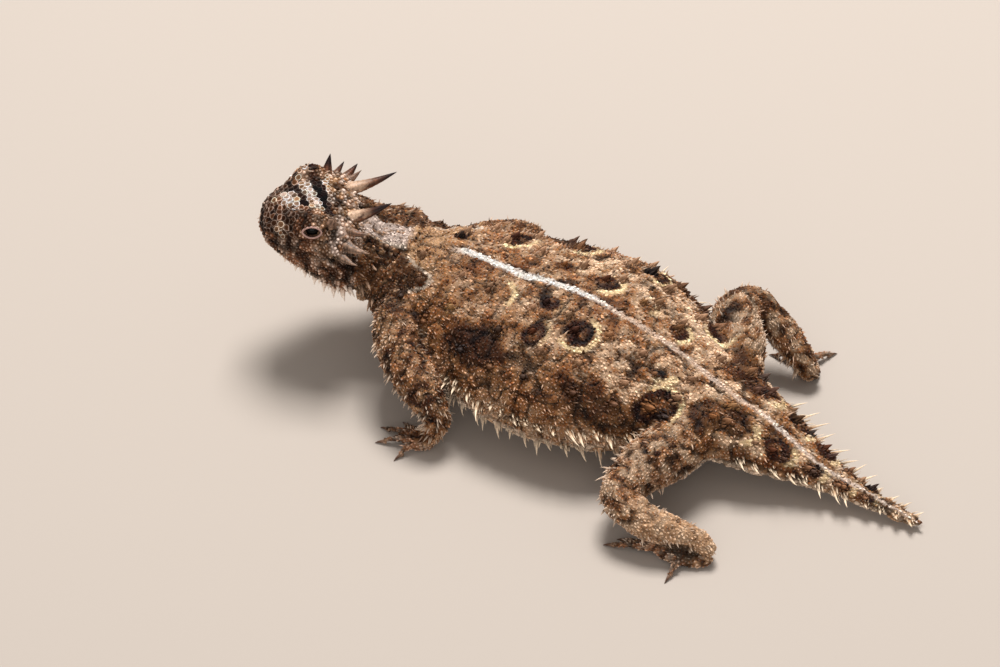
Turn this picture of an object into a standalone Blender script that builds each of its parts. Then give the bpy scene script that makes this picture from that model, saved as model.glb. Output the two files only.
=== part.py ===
"""Horned lizard, life size, standing on its four feet with the head raised and turned to its left.

The head points to -X, the left side to -Y, and the feet stand on the plane z = 0.
Lengths in the tables are in millimetres and are scaled by MM where a mesh is made.
"""

import math

import bmesh
import bpy
import numpy as np

MM = 0.001

# Driving sizes of the animal, in millimetres.
BODY_LENGTH = 92.7  # from the shoulders to the tip of the tail
BODY_HALF_WIDTH = 20.5
BODY_RISE = 13.0  # from the fringe up to the back
BODY_DROP = 6.8  # from the fringe down to the belly
HEAD_LENGTH = 15.3  # from the occiput to the snout
HEAD_HALF_WIDTH = 10.0
HEAD_DEPTH = 14.4
GAP = 0.3  # between neighbouring pieces

# Where the pieces of the body part, as x in millimetres.
TAIL_TIP_X = -3.3
SHOULDER_X = TAIL_TIP_X - BODY_LENGTH
VENT_X = -34.0
TAIL_WAIST_X = -15.0

# Each row: x, sideways bend, height of the fringe, then half width, rise and drop as shares of the
# driving sizes.
TRUNK = np.array(
    [
        (SHOULDER_X, 0.5, 12.0, 0.50, 0.74, 0.90),
        (-90.0, 1.0, 10.5, 0.69, 0.85, 0.98),
        (-80.0, 1.5, 9.0, 0.90, 0.95, 0.97),
        (-70.0, 1.8, 8.5, 1.00, 1.00, 0.99),
        (-60.0, 1.8, 8.5, 0.98, 0.96, 1.00),
        (-52.0, 1.6, 8.5, 0.81, 0.78, 0.94),
        (-44.0, 1.4, 8.3, 0.59, 0.57, 0.82),
        (-38.0, 1.3, 7.6, 0.47, 0.45, 0.70),
        (-32.0, 1.2, 6.4, 0.38, 0.345, 0.60),
        (-26.0, 1.1, 4.9, 0.255, 0.23, 0.49),
        (-20.0, 0.9, 3.6, 0.155, 0.155, 0.37),
        (-12.0, 0.7, 2.3, 0.088, 0.11, 0.26),
        (-6.0, 0.6, 1.6, 0.058, 0.08, 0.20),
        (TAIL_TIP_X, 0.6, 1.1, 0.022, 0.035, 0.08),
    ]
)
TRUNK_SIDES = 28

# The head's own frame: its origin is on the crown at the occiput.
HEAD_ORIGIN = np.array([-105.0, -3.0, 26.4])
HEAD_YAW, HEAD_PITCH, HEAD_ROLL = 35.0, 16.0, 3.0
# Each row: share of the head's length from the occiput, crown height, throat height and widest height
# as shares of its depth below the origin, and half width as a share.
HEAD = np.array(
    [
        (0.00, 0.00, -1.03, -0.44, 0.88),
        (0.13, 0.04, -1.06, -0.44, 1.00),
        (0.32, 0.06, -1.02, -0.44, 0.95),
        (0.50, 0.03, -0.95, -0.45, 0.80),
        (0.70, -0.09, -0.86, -0.47, 0.65),
        (0.86, -0.23, -0.76, -0.50, 0.49),
        (0.955, -0.37, -0.69, -0.53, 0.33),
        (1.00, -0.47, -0.61, -0.55, 0.15),
    ]
)
HEAD_SIDES = 26
# The jaws lie further back than the crown: by this share of their depth below the start, once eased in.
JAW_RAKE, RAKE_START, RAKE_EASE = 0.36, 3.0, 2.0
NECK_HALF_WIDTH, NECK_RISE, NECK_DROP, NECK_AXIS = 8.6, 5.4, 7.0, -7.6
NECK_TUCK = 0.9  # how far the neck reaches under the head before it is cut clear

EYE_PLACE = (7.1, 5.6, -2.0)  # ahead of the occiput, to the side, above the origin
EYE_RADIUS = 2.0
SOCKET_RADIUS = EYE_RADIUS + GAP
EYE_FACING = (0.16, 0.30)  # how far it looks ahead and up for each 1 to the side
LID_REACH = (2.75, 3.2, 2.7)  # out of the head, forwards and up from the middle of the eye
EYE_OPENING = (3.1, 1.9)  # length and height of the gap between the lids
EYE_TILT = 14.0  # degrees that the front of the opening drops
# The mouth's line: share of the head's length and share of its depth.
MOUTH = ((0.24, -0.60), (0.40, -0.685), (0.60, -0.665), (0.80, -0.615), (0.93, -0.575), (1.00, -0.555))
MOUTH_GAP, MOUTH_DEPTH = 0.5, 0.9
LIP_RADIUS = 0.5
NOSTRIL_SHARE, NOSTRIL_ANGLE, NOSTRIL_RADIUS = 0.93, 62.0, 0.45
# The brow from the brow horn to the snout: ahead, to the side, above, radius.
BROW_RIDGE = (
    (6.2, 5.9, 0.15, 0.5),
    (7.0, 5.8, 0.25, 0.95),
    (8.7, 5.1, -0.35, 1.05),
    (10.3, 4.1, -1.5, 0.85),
    (11.6, 3.2, -2.75, 0.5),
    (12.3, 2.7, -3.6, 0.25),
)

# Horns in the head's frame: root, tip, root radius. The right side's are mirrored unless listed.
HORNS = {
    "occipital_horn_left": ((0.9, 3.2, -0.7), (-4.4, 3.6, 4.1), 1.25),
    "occipital_horn_right": ((0.9, -3.5, -0.4), (-5.7, -4.8, 3.7), 1.2),
    "temporal_horn_left_1": ((1.3, 6.2, -1.0), (-1.2, 7.8, 0.3), 0.95),
    "temporal_horn_right_1": ((1.2, -6.1, -1.2), (-0.7, -7.1, 0.9), 0.9),
    "temporal_horn_left_2": ((1.2, 8.2, -2.5), (-1.8, 10.9, -0.9), 1.05),
    "temporal_horn_right_2": ((1.2, -8.2, -2.4), (-0.4, -9.9, -0.3), 1.0),
    "temporal_horn_left_3": ((2.4, 8.9, -4.0), (-0.4, 11.9, -3.0), 0.95),
    "temporal_horn_right_3": ((3.2, -8.7, -3.8), (1.5, -11.2, -1.4), 0.95),
    "brow_horn_left": ((4.6, 6.6, 0.1), (4.8, 8.0, 2.7), 1.0),
    "brow_horn_right": ((4.8, -6.6, -0.2), (4.9, -8.0, 2.3), 0.9),
}
HORN_SIDES = 8

# Limbs from the body outwards: x, y, z, radius, and the shares of the path where the pieces part.
LIMBS = {
    "foreleg_left": [
        (-93.5, -5.0, 13.0, 4.8),
        (-91.4, -12.5, 12.0, 4.7),
        (-86.4, -17.5, 10.2, 4.1),
        (-81.2, -20.4, 7.9, 3.2),
        (-79.2, -21.2, 5.0, 2.4),
        (-80.2, -21.8, 2.2, 1.9),
        (-82.0, -22.5, 1.3, 1.7),
    ],
    "foreleg_right": [
        (-92.5, 7.0, 13.0, 4.4),
        (-91.0, 14.0, 12.0, 4.0),
        (-89.0, 19.0, 10.3, 3.5),
        (-88.5, 22.6, 8.0, 2.9),
        (-91.0, 24.4, 5.0, 2.2),
        (-94.0, 25.3, 2.4, 1.8),
        (-96.0, 26.0, 1.3, 1.7),
    ],
    "hindleg_left": [
        (-41.0, -3.0, 8.6, 5.0),
        (-43.0, -12.0, 8.0, 5.1),
        (-45.0, -19.0, 7.4, 4.1),
        (-44.3, -23.7, 6.6, 3.4),
        (-40.0, -24.8, 5.6, 3.1),
        (-34.0, -23.5, 4.1, 2.6),
        (-30.0, -22.3, 2.6, 2.0),
        (-28.9, -22.6, 1.5, 1.8),
    ],
    "hindleg_right": [
        (-41.0, 5.5, 8.6, 5.0),
        (-44.5, 13.5, 10.4, 4.9),
        (-47.5, 19.5, 12.2, 4.0),
        (-46.6, 22.9, 11.4, 3.4),
        (-42.5, 23.6, 8.4, 3.0),
        (-38.2, 23.0, 5.0, 2.5),
        (-35.8, 22.4, 2.7, 2.0),
        (-35.4, 23.2, 1.5, 1.8),
    ],
}
LIMB_SIDES = 12
# The joint and the ankle or wrist, as shares of each limb's path, and the names of its pieces.
PARTINGS = {
    "foreleg_left": (0.62, 0.90, ("upper_arm", "forearm", "hand")),
    "foreleg_right": (0.62, 0.90, ("upper_arm", "forearm", "hand")),
    "hindleg_left": (0.56, 0.955, ("thigh", "shank", "foot")),
    "hindleg_right": (0.58, 0.955, ("thigh", "shank", "foot")),
}

# Feet: middle of the sole, heading in degrees from -X towards -Y, sole radii, and for each toe
# its angle from the heading and its length from the middle of the sole.
HAND_TOES = ((-84, 3.6), (-50, 4.8), (-20, 6.2), (10, 5.8), (58, 4.4))
FOOT_TOES = ((-46, 5.2), (-24, 7.6), (-8, 10.0), (1, 11.6), (76, 5.0))
FEET = {
    "foreleg_left": ((-81.8, -22.4), 18.0, 2.9, 2.3, HAND_TOES, 1),
    "foreleg_right": ((-96.2, 26.2), -22.0, 2.9, 2.3, HAND_TOES, -1),
    "hindleg_left": ((-32.6, -24.3), 15.0, 4.9, 2.3, FOOT_TOES, 1),
    "hindleg_right": ((-38.4, 25.9), -42.0, 4.9, 2.3, FOOT_TOES, -1),
}
SOLE_HEIGHT = 1.5
TOE_RADIUS, CLAW_LENGTH = 0.85, 1.4

# Rows of spines on the trunk and tail: from x, to x, how many on each side, degrees above the fringe,
# length, root radius, and how far they lean towards the tail.
FRINGE_ROWS = (
    (-87.0, -49.0, 18, 4.0, 3.3, 0.65, 0.5),
    (-82.0, -51.0, 14, -17.0, 2.4, 0.58, 0.55),
)
BACK_ROWS = (
    (-93.0, -39.0, 9, 33.0, 1.7, 0.8, 1.2),
    (-90.0, -37.0, 8, 52.0, 1.8, 0.85, 1.2),
    (-92.5, -38.0, 9, 72.0, 1.6, 0.8, 1.2),
)
TAIL_BASE_ROWS = (
    (-32.6, -16.8, 8, 2.0, 2.4, 0.55, 0.7),
    (-31.5, -17.5, 4, 45.0, 1.3, 0.6, 1.2),
)
TAIL_TIP_ROWS = ((-13.8, -6.0, 4, 5.0, 1.1, 0.5, 0.9),)
# Neck spines: share of the neck from the trunk, degrees above its left side, length.
NECK_SPINES = (
    (0.30, 6.0, 2.6), (0.42, -8.0, 2.8), (0.55, 10.0, 2.4), (0.66, -6.0, 2.2), (0.48, 34.0, 1.7),
    (0.36, 60.0, 1.4), (0.30, 174.0, 2.6), (0.42, 188.0, 2.8), (0.55, 170.0, 2.6), (0.66, 186.0, 2.2),
    (0.48, 146.0, 1.9), (0.36, 120.0, 1.6),
)
NECK_SPINE_RADIUS = 0.6
# Jaw spines: share of the head's length, degrees below its widest line, length. The same on both sides.
JAW_SPINES = (
    (0.06, -33.0, 2.0), (0.15, -38.0, 2.2), (0.25, -41.0, 2.1), (0.35, -43.0, 1.9), (0.45, -45.0, 1.7),
    (0.55, -47.0, 1.5), (0.65, -49.0, 1.3), (0.76, -52.0, 1.1),
)
JAW_SPINE_RADIUS = 0.6
# Plates on the crown and snout: share of the head's length, spacing across it, plate radius.
CROWN_PLATES = (
    (0.11, 2.3, 1.05), (0.26, 2.3, 1.05), (0.41, 2.1, 0.95), (0.55, 1.9, 0.9), (0.68, 1.75, 0.8),
    (0.80, 1.6, 0.75), (0.90, 1.4, 0.65),
)
PLATED_WIDTH = 0.82  # share of the head's width
PLATE_HEIGHT, PLATE_SINK = 0.4, 0.5
# Limb spines: from and to, as shares of the limb, how many, length and root radius.
LIMB_SPINES = {
    "foreleg": ((0.30, 0.58, 9, 2.0, 0.55), (0.65, 0.87, 8, 1.7, 0.5)),
    "hindleg": ((0.26, 0.52, 9, 1.7, 0.55), (0.61, 0.92, 9, 1.8, 0.5)),
}
SPINE_SIDES, SPINE_SINK = 5, 0.7
GOLDEN_ANGLE = 137.5  # degrees between one limb spine and the next
CLEARANCE = 0.35  # between a spine and any other piece

SKIN_TAN = (0.33, 0.22, 0.13)
SKIN_DARK = (0.16, 0.11, 0.08)
HORN_BROWN = (0.20, 0.12, 0.08)
EYE_BLACK = (0.01, 0.008, 0.006)


def smooth_between(keys, rows, at):
    """Rows of values at the places asked for, on a smooth curve through the given rows."""
    keys, rows, at = np.asarray(keys), np.asarray(rows), np.atleast_1d(at)
    step = np.diff(keys)[:, None]
    slope = np.diff(rows, axis=0) / step
    tangent = np.zeros_like(rows)
    tangent[1:-1] = (slope[:-1] * step[1:] + slope[1:] * step[:-1]) / (step[:-1] + step[1:])
    tangent[0], tangent[-1] = slope[0], slope[-1]
    i = np.clip(np.searchsorted(keys, at) - 1, 0, len(keys) - 2)
    h = step[i]
    t = (at - keys[i])[:, None] / h
    start = (2 * t**3 - 3 * t**2 + 1) * rows[i] + (t**3 - 2 * t**2 + t) * h * tangent[i]
    return start + (3 * t**2 - 2 * t**3) * rows[i + 1] + (t**3 - t**2) * h * tangent[i + 1]


def unit(vector):
    """The vector at length 1."""
    vector = np.asarray(vector, float)
    return vector / np.linalg.norm(vector)


def section(angles, half_width, rise, drop, crown=2.0, belly=2.0):
    """Sideways and upward distances round a body section. At 90 degrees is the top."""
    c, s = np.cos(angles), np.sin(angles)
    power = 2.0 / np.where(s >= 0, crown, belly)
    across = half_width * np.sign(c) * np.abs(c) ** power
    return across, np.where(s >= 0, rise, drop) * np.sign(s) * np.abs(s) ** power


def turn(sides):
    """Angles evenly round a section."""
    return np.arange(sides) * 2 * math.pi / sides


def trunk_ring(x, angles, grow=0.0):
    """Points round the trunk or tail at x, grown outwards by the given amount."""
    bend, fringe, width, rise, drop = smooth_between(TRUNK[:, 0], TRUNK[:, 1:], x)[0]
    across, high = section(
        angles,
        width * BODY_HALF_WIDTH + grow,
        rise * BODY_RISE + grow,
        drop * BODY_DROP + grow,
        crown=2.0,
        belly=2.6,
    )
    return np.stack([np.full(len(angles), x), bend + across, fringe + high], 1)


def head_frame():
    """The head's forward, left and up directions."""
    yaw, pitch, roll = np.radians([HEAD_YAW, HEAD_PITCH, HEAD_ROLL])
    forward = np.array(
        [-math.cos(yaw) * math.cos(pitch), -math.sin(yaw) * math.cos(pitch), math.sin(pitch)]
    )
    left = np.array([math.sin(yaw), -math.cos(yaw), 0.0])
    up = np.cross(forward, left)
    return (
        forward,
        left * math.cos(roll) - up * math.sin(roll),
        up * math.cos(roll) + left * math.sin(roll),
    )


HEAD_FORWARD, HEAD_LEFT, HEAD_UP = head_frame()


def rake(above):
    """How far back the jaws lie at a height in the head's frame. It takes numbers or arrays."""
    depth = np.maximum(0.0, -RAKE_START - np.asarray(above, float))
    return JAW_RAKE * depth**2 / (depth + RAKE_EASE)


def head_point(ahead, left, above):
    """A place given in the head's frame, in body coordinates. It takes numbers or arrays."""
    place = np.multiply.outer(np.asarray(ahead, float) - rake(above), HEAD_FORWARD)
    place = place + np.multiply.outer(np.asarray(left, float), HEAD_LEFT)
    return HEAD_ORIGIN + place + np.multiply.outer(np.asarray(above, float), HEAD_UP)


def head_vector(ahead, left, above):
    """A direction given in the head's frame, in body coordinates."""
    return unit(head_point(ahead, left, above) - HEAD_ORIGIN)


def head_sizes(share):
    """Crown, throat and widest height and half width of the head at a share of its length."""
    crown, throat, widest, width = smooth_between(HEAD[:, 0], HEAD[:, 1:], share)[0]
    return crown * HEAD_DEPTH, throat * HEAD_DEPTH, widest * HEAD_DEPTH, width * HEAD_HALF_WIDTH


def head_ring(share, angles, grow=0.0):
    """Points round the head at a share of its length. Angle 0 is its left side."""
    crown, throat, widest, width = head_sizes(share)
    rise, drop = crown - widest + grow, widest - throat + grow
    across, high = section(angles, width + grow, rise, drop, crown=2.7, belly=2.3)
    return head_point(np.full(len(angles), share * HEAD_LENGTH), across, widest + high)


def make_object(name, points, faces):
    """A mesh object from points in millimetres."""
    mesh = bpy.data.meshes.new(name)
    mesh.from_pydata([tuple(p) for p in np.asarray(points) * MM], [], faces)
    made = bpy.data.objects.new(name, mesh)
    bpy.context.scene.collection.objects.link(made)
    face_outwards(made)
    return made


def face_outwards(made):
    """Turns every face of a closed mesh to point out."""
    bm = bmesh.new()
    bm.from_mesh(made.data)
    bmesh.ops.recalc_face_normals(bm, faces=bm.faces)
    bm.to_mesh(made.data)
    bm.free()


def loft(name, rings, tip=None):
    """A closed body through rings of points, with flat ends or a pointed far end."""
    count = len(rings[0])
    points = list(np.concatenate(rings))
    faces = []
    for k in range(len(rings) - 1):
        for j in range(count):
            a, b = k * count + j, k * count + (j + 1) % count
            faces.append((a, b, b + count, a + count))
    faces.append(tuple(range(count)))
    last = (len(rings) - 1) * count
    if tip is None:
        faces.append(tuple(last + j for j in range(count)))
    else:
        points.append(tip)
        faces += [(last + j, last + (j + 1) % count, len(points) - 1) for j in range(count)]
    return make_object(name, points, faces)


def frames_along(centres, up=(0.0, 0.0, 1.0), reach=1):
    """Tangent, side and top directions at each point of a path, with no twist between them.

    A longer reach, in points, turns the directions more gently round a bend.
    """
    here = np.arange(len(centres))
    ahead, behind = np.minimum(here + reach, here[-1]), np.maximum(here - reach, 0)
    tangents = centres[ahead] - centres[behind]
    tangents /= np.linalg.norm(tangents, axis=1)[:, None]
    side = np.cross(tangents[0], up)
    frames = []
    for tangent in tangents:
        side = unit(side - tangent * (side @ tangent))
        frames.append((tangent, side, np.cross(side, tangent)))
    return frames


class LimbPath:
    """A limb's centre line and radius as a smooth function of the share of its length."""

    def __init__(self, knots, samples=61):
        knots = np.array(knots)
        lengths = np.linalg.norm(np.diff(knots[:, :3], axis=0), axis=1)
        along = np.concatenate([[0.0], np.cumsum(lengths)])
        self.shares = np.linspace(0, 1, samples)
        self.rows = smooth_between(along / along[-1], knots, self.shares)
        self.length = along[-1]
        self.frames = frames_along(self.rows[:, :3], reach=samples // 8)

    def at(self, share):
        """Centre, radius and frame at a share of the length."""
        i = int(np.clip(share * (len(self.shares) - 1), 0, len(self.shares) - 2))
        t = share * (len(self.shares) - 1) - i
        row = self.rows[i] * (1 - t) + self.rows[i + 1] * t
        near, far = self.frames[i], self.frames[i + 1]
        return row[:3], row[3], [unit(a * (1 - t) + b * t) for a, b in zip(near, far)]

    def ring(self, share, sides=LIMB_SIDES, grow=0.0):
        """Points round the limb."""
        centre, radius, (_, side, top) = self.at(share)
        a = turn(sides)
        return centre + (radius + grow) * (np.outer(np.cos(a), side) + np.outer(np.sin(a), top))

    def surface(self, share, outward):
        """The point of the limb's surface that faces outward, and the direction out of it."""
        centre, radius, (tangent, _, _) = self.at(share)
        out = np.asarray(outward, float)
        out = unit(out - tangent * (out @ tangent))
        return centre + out * radius, out


def spine(root, out, lean, length, radius):
    """A tapered spine: it leaves the surface along out and bends towards lean."""
    out, lean = unit(out), unit(lean)
    across = unit(np.cross(out, lean))
    heading = unit(out + 0.6 * lean)
    a = turn(SPINE_SIDES)
    foot = np.outer(np.cos(a), np.cross(across, out)) + np.outer(np.sin(a), across)
    middle = root + heading * length * 0.45
    rings = [root - out * SPINE_SINK + foot * radius, middle + foot * radius * 0.6]
    return loft("spine", rings, tip=middle + unit(heading + 0.7 * lean) * length * 0.55)


def spine_reach(root, out, lean, length):
    """Points along a spine of that shape, with the share of its root radius at each."""
    heading = unit(unit(out) + 0.6 * unit(lean))
    middle = root + heading * length * 0.45
    tip = middle + unit(heading + 0.7 * unit(lean)) * length * 0.55
    return ((root + heading * length * 0.2, 0.85), (middle, 0.6), ((middle + tip) / 2, 0.3), (tip, 0.0))


def trunk_distance(place):
    """Roughly how far a place is outside the trunk and tail."""
    if not SHOULDER_X <= place[0] <= TAIL_TIP_X:
        return math.inf
    bend, fringe, width, rise, drop = smooth_between(TRUNK[:, 0], TRUNK[:, 1:], place[0])[0]
    across, high = place[1] - bend, place[2] - fringe
    tall, power = (rise * BODY_RISE, 2.0) if high > 0 else (drop * BODY_DROP, 2.6)
    size = (abs(across / (width * BODY_HALF_WIDTH)) ** power + abs(high / tall) ** power) ** (1 / power)
    return math.hypot(across, high) * (1 - 1 / size)


def head_distance(place):
    """Roughly how far a place is outside the head."""
    ahead, left, above = ((place - HEAD_ORIGIN) @ axis for axis in (HEAD_FORWARD, HEAD_LEFT, HEAD_UP))
    ahead += rake(above)
    if not 0 <= ahead <= HEAD_LENGTH:
        return max(-ahead, ahead - HEAD_LENGTH)
    crown, throat, widest, width = head_sizes(ahead / HEAD_LENGTH)
    tall = crown - widest if above > widest else widest - throat
    size = (abs(left / width) ** 2.5 + abs((above - widest) / tall) ** 2.5) ** 0.4
    return math.hypot(left, above - widest) * (1 - 1 / size)


def neck_distance(place):
    """Roughly how far a place is outside the neck."""
    rings = neck_rings()
    points = np.concatenate(rings)
    ways = [unit(place - ring.mean(axis=0)) for ring in rings] + [HEAD_FORWARD]
    return max(place @ way - (points @ way).max() for way in ways)


def limb_distance(name, place):
    """Roughly how far a place is outside a limb."""
    path = LimbPath(LIMBS[name])
    return (np.linalg.norm(path.rows[:, :3] - place, axis=1) - path.rows[:, 3]).min()


def is_clear(own, root, out, lean, length, radius):
    """Whether a spine that grows from the form called own keeps off the others. The neck is cut for the jaw's."""
    for place, share in spine_reach(root, out, lean, length):
        room = CLEARANCE + radius * share
        if place[2] < room:
            return False
        if own != "trunk" and trunk_distance(place) < room:
            return False
        if own != "head" and head_distance(place) < room:
            return False
        if own not in ("neck", "head") and neck_distance(place) < room:
            return False
        if any(name != own and limb_distance(name, place) < room for name in LIMBS):
            return False
    return True


def ellipsoid(name, centre, axes, radii, rings=8, sides=12):
    """An ellipsoid on three given directions, with its poles on the first."""
    latitudes = np.linspace(-math.pi / 2, math.pi / 2, rings + 1)[1:-1]
    a = turn(sides)
    rows = []
    for latitude in latitudes:
        along = np.asarray(axes[0]) * radii[0] * math.sin(latitude)
        round_about = np.outer(np.cos(a) * radii[1], axes[1]) + np.outer(np.sin(a) * radii[2], axes[2])
        rows.append(centre + along + round_about * math.cos(latitude))
    points = list(np.concatenate(rows)) + [
        centre - np.asarray(axes[0]) * radii[0],
        centre + np.asarray(axes[0]) * radii[0],
    ]
    count, south, north = len(rows), len(points) - 2, len(points) - 1
    faces = []
    for k in range(count - 1):
        for j in range(sides):
            p, q = k * sides + j, k * sides + (j + 1) % sides
            faces.append((p, q, q + sides, p + sides))
    for j in range(sides):
        faces.append((south, j, (j + 1) % sides))
        faces.append((north, (count - 1) * sides + (j + 1) % sides, (count - 1) * sides + j))
    return make_object(name, points, faces)


def boolean(base, others, operation, solver="EXACT"):
    """Joins or cuts the base with every one of the others, then removes them."""
    if not others:
        return base
    group = bpy.data.collections.new(base.name + "_operands")
    bpy.context.scene.collection.children.link(group)
    for other in others:
        bpy.context.scene.collection.objects.unlink(other)
        group.objects.link(other)
    step = base.modifiers.new("shape", "BOOLEAN")
    step.operand_type = "COLLECTION"
    step.collection = group
    step.operation = operation
    step.solver = solver
    graph = bpy.context.evaluated_depsgraph_get()
    shaped = bpy.data.meshes.new_from_object(base.evaluated_get(graph))
    base.modifiers.clear()
    base.data = shaped
    for other in others:
        bpy.data.objects.remove(other)
    bpy.data.collections.remove(group)
    return base


def islands(bm):
    """The mesh's separate surfaces, each as a list of faces."""
    seen, found = set(), []
    for start in bm.faces:
        if start in seen:
            continue
        seen.add(start)
        stack, surface = [start], []
        while stack:
            face = stack.pop()
            surface.append(face)
            for edge in face.edges:
                for other in edge.link_faces:
                    if other not in seen:
                        seen.add(other)
                        stack.append(other)
        found.append(surface)
    return found


def keep_largest(made):
    """Leaves only the mesh's largest closed surface."""
    bm = bmesh.new()
    bm.from_mesh(made.data)
    surfaces = sorted(islands(bm), key=lambda faces: sum(f.calc_area() for f in faces))
    loose = [face for surface in surfaces[:-1] for face in surface]
    bmesh.ops.delete(bm, geom=loose, context="FACES")
    bm.to_mesh(made.data)
    bm.free()
    return made


def dress(made, colour, roughness):
    """Gives a piece its material and smooth shading."""
    material = bpy.data.materials.new(made.name)
    material.use_nodes = True
    shader = material.node_tree.nodes["Principled BSDF"]
    shader.inputs["Base Color"].default_value = (*colour, 1.0)
    shader.inputs["Roughness"].default_value = roughness
    shader.inputs["Metallic"].default_value = 0.0
    made.data.materials.clear()
    made.data.materials.append(material)
    made.data.shade_smooth()
    made.data.set_sharp_from_angle(angle=math.radians(40))
    return made


def floor_block():
    """Everything below the plane that the feet stand on."""
    low, high = np.array([-160.0, -80.0, -20.0]), np.array([40.0, 80.0, 0.0])
    corners = [
        (x, y, z) for z in (low[2], high[2]) for x, y in
        ((low[0], low[1]), (high[0], low[1]), (high[0], high[1]), (low[0], high[1]))
    ]
    faces = [(0, 1, 2, 3), (4, 5, 6, 7), (0, 1, 5, 4), (1, 2, 6, 5), (2, 3, 7, 6), (3, 0, 4, 7)]
    return make_object("floor_block", corners, faces)


def trunk_piece(name, start, end, step):
    """A length of the trunk or tail between two values of x."""
    count = max(2, round((end - start) / step) + 1)
    return loft(name, [trunk_ring(x, turn(TRUNK_SIDES)) for x in np.linspace(start, end, count)])


def trunk_surface(x, degrees):
    """A point of the trunk's skin, and the direction out of it. 0 is the right fringe, 90 the back."""
    a, small = math.radians(degrees), 0.05
    here = trunk_ring(x, np.array([a - small, a, a + small]))
    along = trunk_ring(x + 0.5, np.array([a]))[0] - trunk_ring(x - 0.5, np.array([a]))[0]
    out = unit(np.cross(here[2] - here[0], along))
    centre = trunk_ring(x, np.array([0.0, math.pi])).mean(axis=0)
    if out @ (here[1] - centre) < 0:
        out = -out
    return here[1], out


def trunk_spines(rows, start, end, seed):
    """Rows of spines along both sides of a length of the trunk, varied in place and length."""
    chance = np.random.default_rng(seed)
    made = []
    for first, last, count, angle, length, radius, slant in rows:
        pitch = (last - first) / max(1, count - 1)
        for side in (1, -1):
            for k in range(count):
                stagger = 0.25 if side > 0 else 0.0
                x = first + pitch * (k + stagger + chance.uniform(-0.2, 0.2))
                turned = angle + chance.uniform(-2.5, 2.5)
                size = length * chance.uniform(0.8, 1.15)
                root, out = trunk_surface(x, turned if side > 0 else 180.0 - turned)
                lean = unit(np.array([slant, 0.0, 0.15 if angle > 0 else -0.1]) + 0.2 * out)
                tip_x = spine_reach(root, out, lean, size)[-1][0][0]
                if x < start + radius + GAP or tip_x > end - GAP:
                    continue
                if is_clear("trunk", root, out, lean, size, radius):
                    made.append(spine(root, out, lean, size, radius))
    return made


def build_torso():
    """The body between the shoulders and the vent, with its fringes and the spines of the back."""
    start, end = SHOULDER_X + GAP / 2, VENT_X - GAP / 2
    torso = trunk_piece("torso", start, end, 3.1)
    torso = boolean(torso, trunk_spines(FRINGE_ROWS + BACK_ROWS, start, end, seed=11), "UNION")
    return dress(keep_largest(torso), SKIN_TAN, 0.75)


def build_tail():
    """The tail in two lengths, each with its rows of spines."""
    made = []
    for name, start, end, step, rows in (
        ("tail_base", VENT_X + GAP / 2, TAIL_WAIST_X - GAP / 2, 2.7, TAIL_BASE_ROWS),
        ("tail_tip", TAIL_WAIST_X + GAP / 2, TAIL_TIP_X, 2.3, TAIL_TIP_ROWS),
    ):
        piece = trunk_piece(name, start, end, step)
        piece = boolean(piece, trunk_spines(rows, start, end, seed=12), "UNION")
        made.append(dress(keep_largest(piece), SKIN_TAN, 0.75))
    return made


def neck_rings(grow=0.0):
    """Rings of the neck, which turns from the trunk's front to the back of the head."""
    head_end = HEAD_ORIGIN + HEAD_FORWARD * NECK_TUCK + HEAD_UP * NECK_AXIS
    bend, fringe, width, rise, drop = smooth_between(TRUNK[:, 0], TRUNK[:, 1:], SHOULDER_X)[0]
    trunk_end = np.array([SHOULDER_X - GAP / 2, bend, fringe])
    first = np.array([width * BODY_HALF_WIDTH, rise * BODY_RISE, drop * BODY_DROP]) + grow
    last = np.array([NECK_HALF_WIDTH, NECK_RISE, NECK_DROP]) + grow
    reach = np.linalg.norm(head_end - trunk_end)
    rings = []
    for t in np.linspace(0, 1, 7):
        blend = t * t * (3 - 2 * t)
        start = trunk_end + np.array([-1.0, 0.0, 0.0]) * reach * 0.9 * t
        finish = head_end - HEAD_FORWARD * reach * 0.9 * (1 - t)
        centre = start * (1 - blend) + finish * blend
        side = unit(np.array([0.0, -1.0, 0.0]) * (1 - blend) + HEAD_LEFT * blend)
        top = unit(np.array([0.0, 0.0, 1.0]) * (1 - blend) + HEAD_UP * blend)
        half_width, up, down = first * (1 - blend) + last * blend
        across, high = section(turn(TRUNK_SIDES), half_width, up, down, belly=2.3)
        rings.append(centre + np.outer(across, side) + np.outer(high, top))
    return rings


def neck_surface(share, degrees):
    """A point of the neck's skin, the direction out of it, and the direction towards the trunk."""
    rings = np.array(neck_rings())
    place = share * (len(rings) - 1)
    k = min(int(place), len(rings) - 2)
    ring = rings[k] * (1 - (place - k)) + rings[k + 1] * (place - k)
    j = round(degrees / 360 * TRUNK_SIDES) % TRUNK_SIDES
    around = ring[(j + 1) % TRUNK_SIDES] - ring[j - 1]
    along = rings[k][j] - rings[k + 1][j]
    out = unit(np.cross(around, along))
    return ring[j], out if out @ (ring[j] - ring.mean(axis=0)) > 0 else -out, unit(along)


def build_neck():
    """The neck, cut clear of the head, with a cluster of spines on each side and smaller ones above."""
    spines = []
    for share, degrees, length in NECK_SPINES:
        root, out, back = neck_surface(share, degrees)
        if is_clear("neck", root, out, back, length, NECK_SPINE_RADIUS):
            spines.append(spine(root, out, back, length, NECK_SPINE_RADIUS))
    neck = boolean(loft("neck", neck_rings()), spines, "UNION")
    neck = boolean(neck, [skull_cutter(), *jaw_spines(grow=1.5 * GAP)], "DIFFERENCE")
    return dress(keep_largest(neck), SKIN_DARK, 0.8)


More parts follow.
